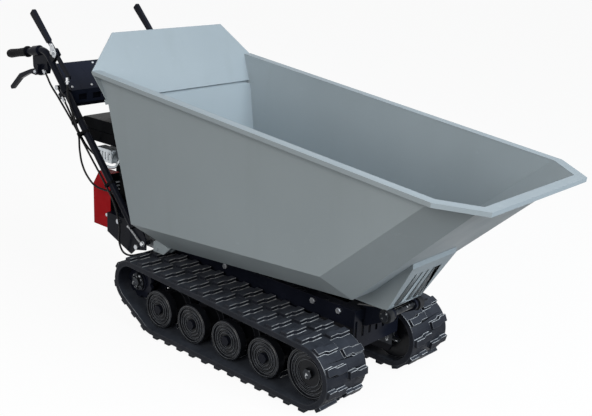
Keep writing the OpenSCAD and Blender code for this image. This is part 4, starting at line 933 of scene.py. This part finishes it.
def engine_bolts():
    """Feet bolts, rocker cover screws, shield screws, starter screws and gearbox bolts."""
    mesh = bmesh.new()
    for fore in (-1, 1):
        for side in SIDES.values():
            bolt(mesh, facing(place(CRANK.x + fore * FOOT_X, side * FOOT_Y, FOOT_TOP), UPWARD), FOOT_BOLT)
            cover = on_barrel(fore * COVER_DOWN, side * COVER_Y, COVER_OUT)
            screw(mesh, facing(cover, BARREL_OUT), COVER_SCREW)
        shield = place(CRANK.x + fore * SHIELD_SCREW_X, SHIELD_FACE, SHIELD_SCREW_Z)
        screw(mesh, facing(shield, -TO_LEFT), SHIELD_SCREW)
    for spot in bolt_circle(CRANK, STARTER_SCREW_RADIUS, STARTER_SCREW_COUNT):
        screw(mesh, facing(place(spot.x, STARTER_FACE, spot.z), TO_LEFT), STARTER_SCREW)
    for spot in bolt_circle(GEAR_CASE, GEAR_BOLT_RADIUS, GEAR_BOLT_COUNT):
        for side in SIDES.values():
            bolt(mesh, facing(place(spot.x, side * GEAR_FACE, spot.z), TO_LEFT * side), GEAR_BOLT)
    finish_piece("engine_bolts", mesh, "zinc_steel")


def guard_louvres():
    """Short bright louvres on the front edge of the belt guard."""
    mesh = bmesh.new()
    x, y, z = LOUVRE_PLACE
    for index in range(LOUVRE_COUNT):
        where = set_along(place(x, y, z + index * LOUVRE_PITCH), FORWARD, UPWARD, -TO_LEFT)
        plate(mesh, where, LOUVRE, LOUVRE_WIDTH)
    finish_piece("guard_louvres", mesh, "zinc_steel")


def starter_grip():
    """The pull grip of the starter, seated on the edge of its housing."""
    mesh = bmesh.new()
    out = Vector((math.cos(GRIP_ANGLE), 0, math.sin(GRIP_ANGLE)))
    foot = CRANK + out * GRIP_RADIUS
    turned(mesh, facing(place(foot.x, GRIP_Y, foot.z), out), GRIP_NECK)
    bar = foot + out * GRIP_BAR_OUT
    turned(mesh, facing(place(bar.x, GRIP_Y - GRIP_BAR_HALF, bar.z), TO_LEFT), GRIP_BAR)
    finish_piece("starter_grip", mesh, "engine_plastic")


def tank_outline(grow):
    """The outline of the fuel tank, a rectangle with round corners, grown by a width."""
    outline = []
    for x, y in circle(1):
        outline.append((
            math.copysign(TANK_HALF_X - TANK_CORNER, x) + (TANK_CORNER + grow) * x,
            math.copysign(TANK_HALF_Y - TANK_CORNER, y) + (TANK_CORNER + grow) * y,
        ))
    return outline


def tank_seam():
    """The folded seam round the fuel tank."""
    mesh = bmesh.new()
    where = Matrix.Translation(place(*TANK_MIDDLE))
    band(mesh, where, tank_outline(SEAM_IN), tank_outline(SEAM_OUT), SEAM_HEIGHT)
    finish_piece("tank_seam", mesh, "engine_plastic")


# Latch spring

SPRING_FROM = Vector((-527, -227, 330))
SPRING_TO = Vector((-462, -227, 286))
SPRING_RADIUS = 3.2
SPRING_WIRE = 0.0013
SPRING_TURNS = 24
SPRING_STEPS = 10
SPRING_LEG = 5
SPRING_CURVE_STEPS = 2
LATCH_NUT_PLACE = (-455, -222.1, 284)
LATCH_NUT = 9
STUD_FACE = -222
STUD = ((6, 0), (6, 1.5), (3, 2), (3, 7), (4.5, 7.4), (4.5, 9))


def latch_spring():
    """The spring that pulls the latch shut."""
    along = (SPRING_TO - SPRING_FROM).normalized()
    first = along.cross(TO_LEFT).normalized()
    second = along.cross(first)
    coil = (SPRING_TO - SPRING_FROM).length - 2 * SPRING_LEG
    route = [SPRING_FROM]
    for step in range(SPRING_TURNS * SPRING_STEPS + 1):
        share = step / (SPRING_TURNS * SPRING_STEPS)
        angle = FULL_TURN * SPRING_TURNS * share
        turn = first * math.cos(angle) + second * math.sin(angle)
        route.append(SPRING_FROM + along * (SPRING_LEG + coil * share) + turn * SPRING_RADIUS)
    route.append(SPRING_TO)
    finish_rod("latch_spring", route, SPRING_WIRE, "zinc_steel", SPRING_CURVE_STEPS)


def latch_nut():
    """The nut of the latch's pin, and the stud that holds the spring."""
    mesh = bmesh.new()
    bolt(mesh, facing(place(*LATCH_NUT_PLACE), -TO_LEFT), LATCH_NUT)
    turned(mesh, facing(place(SPRING_FROM.x, STUD_FACE, SPRING_FROM.z), -TO_LEFT), STUD)
    finish_piece("latch_nut", mesh, "zinc_steel")


for side_name, side_sign in SIDES.items():
    lever_hardware(side_name, side_sign)
cable_ends()
cable_clips()
throttle_knob()
console_screws()
console_liner()
engine_bolts()
guard_louvres()
finish_rod("muffler_stay", STAY_ROUTE, STAY_DIAMETER, "bright_steel")
starter_grip()
tank_seam()
latch_spring()
latch_nut()


# Floor and light

FLOOR_HALF = 60.0
FLOOR_SEEN = (0.93, 0.93, 0.93, 1.0)
FLOOR_BOUNCE = (0.10, 0.10, 0.095, 1.0)
FLOOR_GLOW_SHARE = 0.93
SKY_COLOUR = (0.93, 0.98, 1.0, 1.0)
SKY_STRENGTH = 0.30
WHITE = (1.0, 1.0, 1.0, 1.0)
LAMP_TARGET = Vector((0.1, 0, 0.6))


def direct_rays(tree):
    """1 for what the camera sees, straight or in metal or glass, and 0 for the light on the object."""
    path = tree.nodes.new("ShaderNodeLightPath")
    seen = path.outputs["Is Camera Ray"]
    for name in ("Is Glossy Ray", "Is Transmission Ray"):
        joined = tree.nodes.new("ShaderNodeMath")
        joined.operation = "MAXIMUM"
        tree.links.new(seen, joined.inputs[0])
        tree.links.new(path.outputs[name], joined.inputs[1])
        seen = joined.outputs[0]
    return seen


def floor_white():
    """A pale floor finish that keeps a soft shadow and throws little light back up."""
    made = bpy.data.materials.new("floor_white")
    made.use_nodes = True
    tree = made.node_tree
    tree.nodes.remove(tree.nodes["Principled BSDF"])
    seen = direct_rays(tree)
    colour = tree.nodes.new("ShaderNodeMix")
    colour.data_type = "RGBA"
    colour.inputs[MIX_FIRST].default_value = FLOOR_BOUNCE
    colour.inputs[MIX_SECOND].default_value = FLOOR_SEEN
    tree.links.new(seen, colour.inputs[MIX_FACTOR])
    paint = tree.nodes.new("ShaderNodeBsdfDiffuse")
    tree.links.new(colour.outputs[MIX_RESULT], paint.inputs["Color"])
    glow = tree.nodes.new("ShaderNodeEmission")
    share = tree.nodes.new("ShaderNodeMath")
    share.operation = "MULTIPLY"
    share.inputs[1].default_value = FLOOR_GLOW_SHARE
    tree.links.new(seen, share.inputs[0])
    both = tree.nodes.new("ShaderNodeMixShader")
    tree.links.new(share.outputs[0], both.inputs[0])
    tree.links.new(paint.outputs[0], both.inputs[1])
    tree.links.new(glow.outputs[0], both.inputs[2])
    tree.links.new(both.outputs[0], tree.nodes["Material Output"].inputs["Surface"])
    return made


def make_floor():
    """A wide flat floor."""
    mesh = bpy.data.meshes.new("floor")
    corners = [(x * FLOOR_HALF, y * FLOOR_HALF, 0) for x, y in ((-1, -1), (1, -1), (1, 1), (-1, 1))]
    mesh.from_pydata(corners, [], [range(len(corners))])
    mesh.materials.append(floor_white())
    floor = bpy.data.objects.new("floor", mesh)
    SCENE.collection.objects.link(floor)


def make_sky():
    """Soft light from all round, with plain white behind the object."""
    world = bpy.data.worlds.new("studio")
    world.use_nodes = True
    tree = world.node_tree
    light = tree.nodes["Background"]
    light.inputs["Color"].default_value = SKY_COLOUR
    light.inputs["Strength"].default_value = SKY_STRENGTH
    backdrop = tree.nodes.new("ShaderNodeBackground")
    backdrop.inputs["Color"].default_value = WHITE
    both = tree.nodes.new("ShaderNodeMixShader")
    tree.links.new(direct_rays(tree), both.inputs[0])
    tree.links.new(light.outputs[0], both.inputs[1])
    tree.links.new(backdrop.outputs[0], both.inputs[2])
    tree.links.new(both.outputs[0], tree.nodes["World Output"].inputs["Surface"])
    SCENE.world = world


def make_lamp(name, where, size, power, colour):
    """A large soft lamp that points at the object."""
    data = bpy.data.lights.new(name, "AREA")
    data.size = size
    data.energy = power
    data.color = colour
    lamp = bpy.data.objects.new(name, data)
    SCENE.collection.objects.link(lamp)
    lamp.location = where
    lamp.rotation_mode = "QUATERNION"
    lamp.rotation_quaternion = (LAMP_TARGET - Vector(where)).to_track_quat("-Z", "Y")


make_floor()
make_sky()
make_lamp("key", where=(5.2, 0.2, 3.7), size=3.0, power=335, colour=(0.88, 0.95, 1.0))
make_lamp("side", where=(1.4, -3.6, 2.2), size=2.4, power=76, colour=(1.0, 0.95, 0.88))

SCENE.view_settings.view_transform = "Standard"
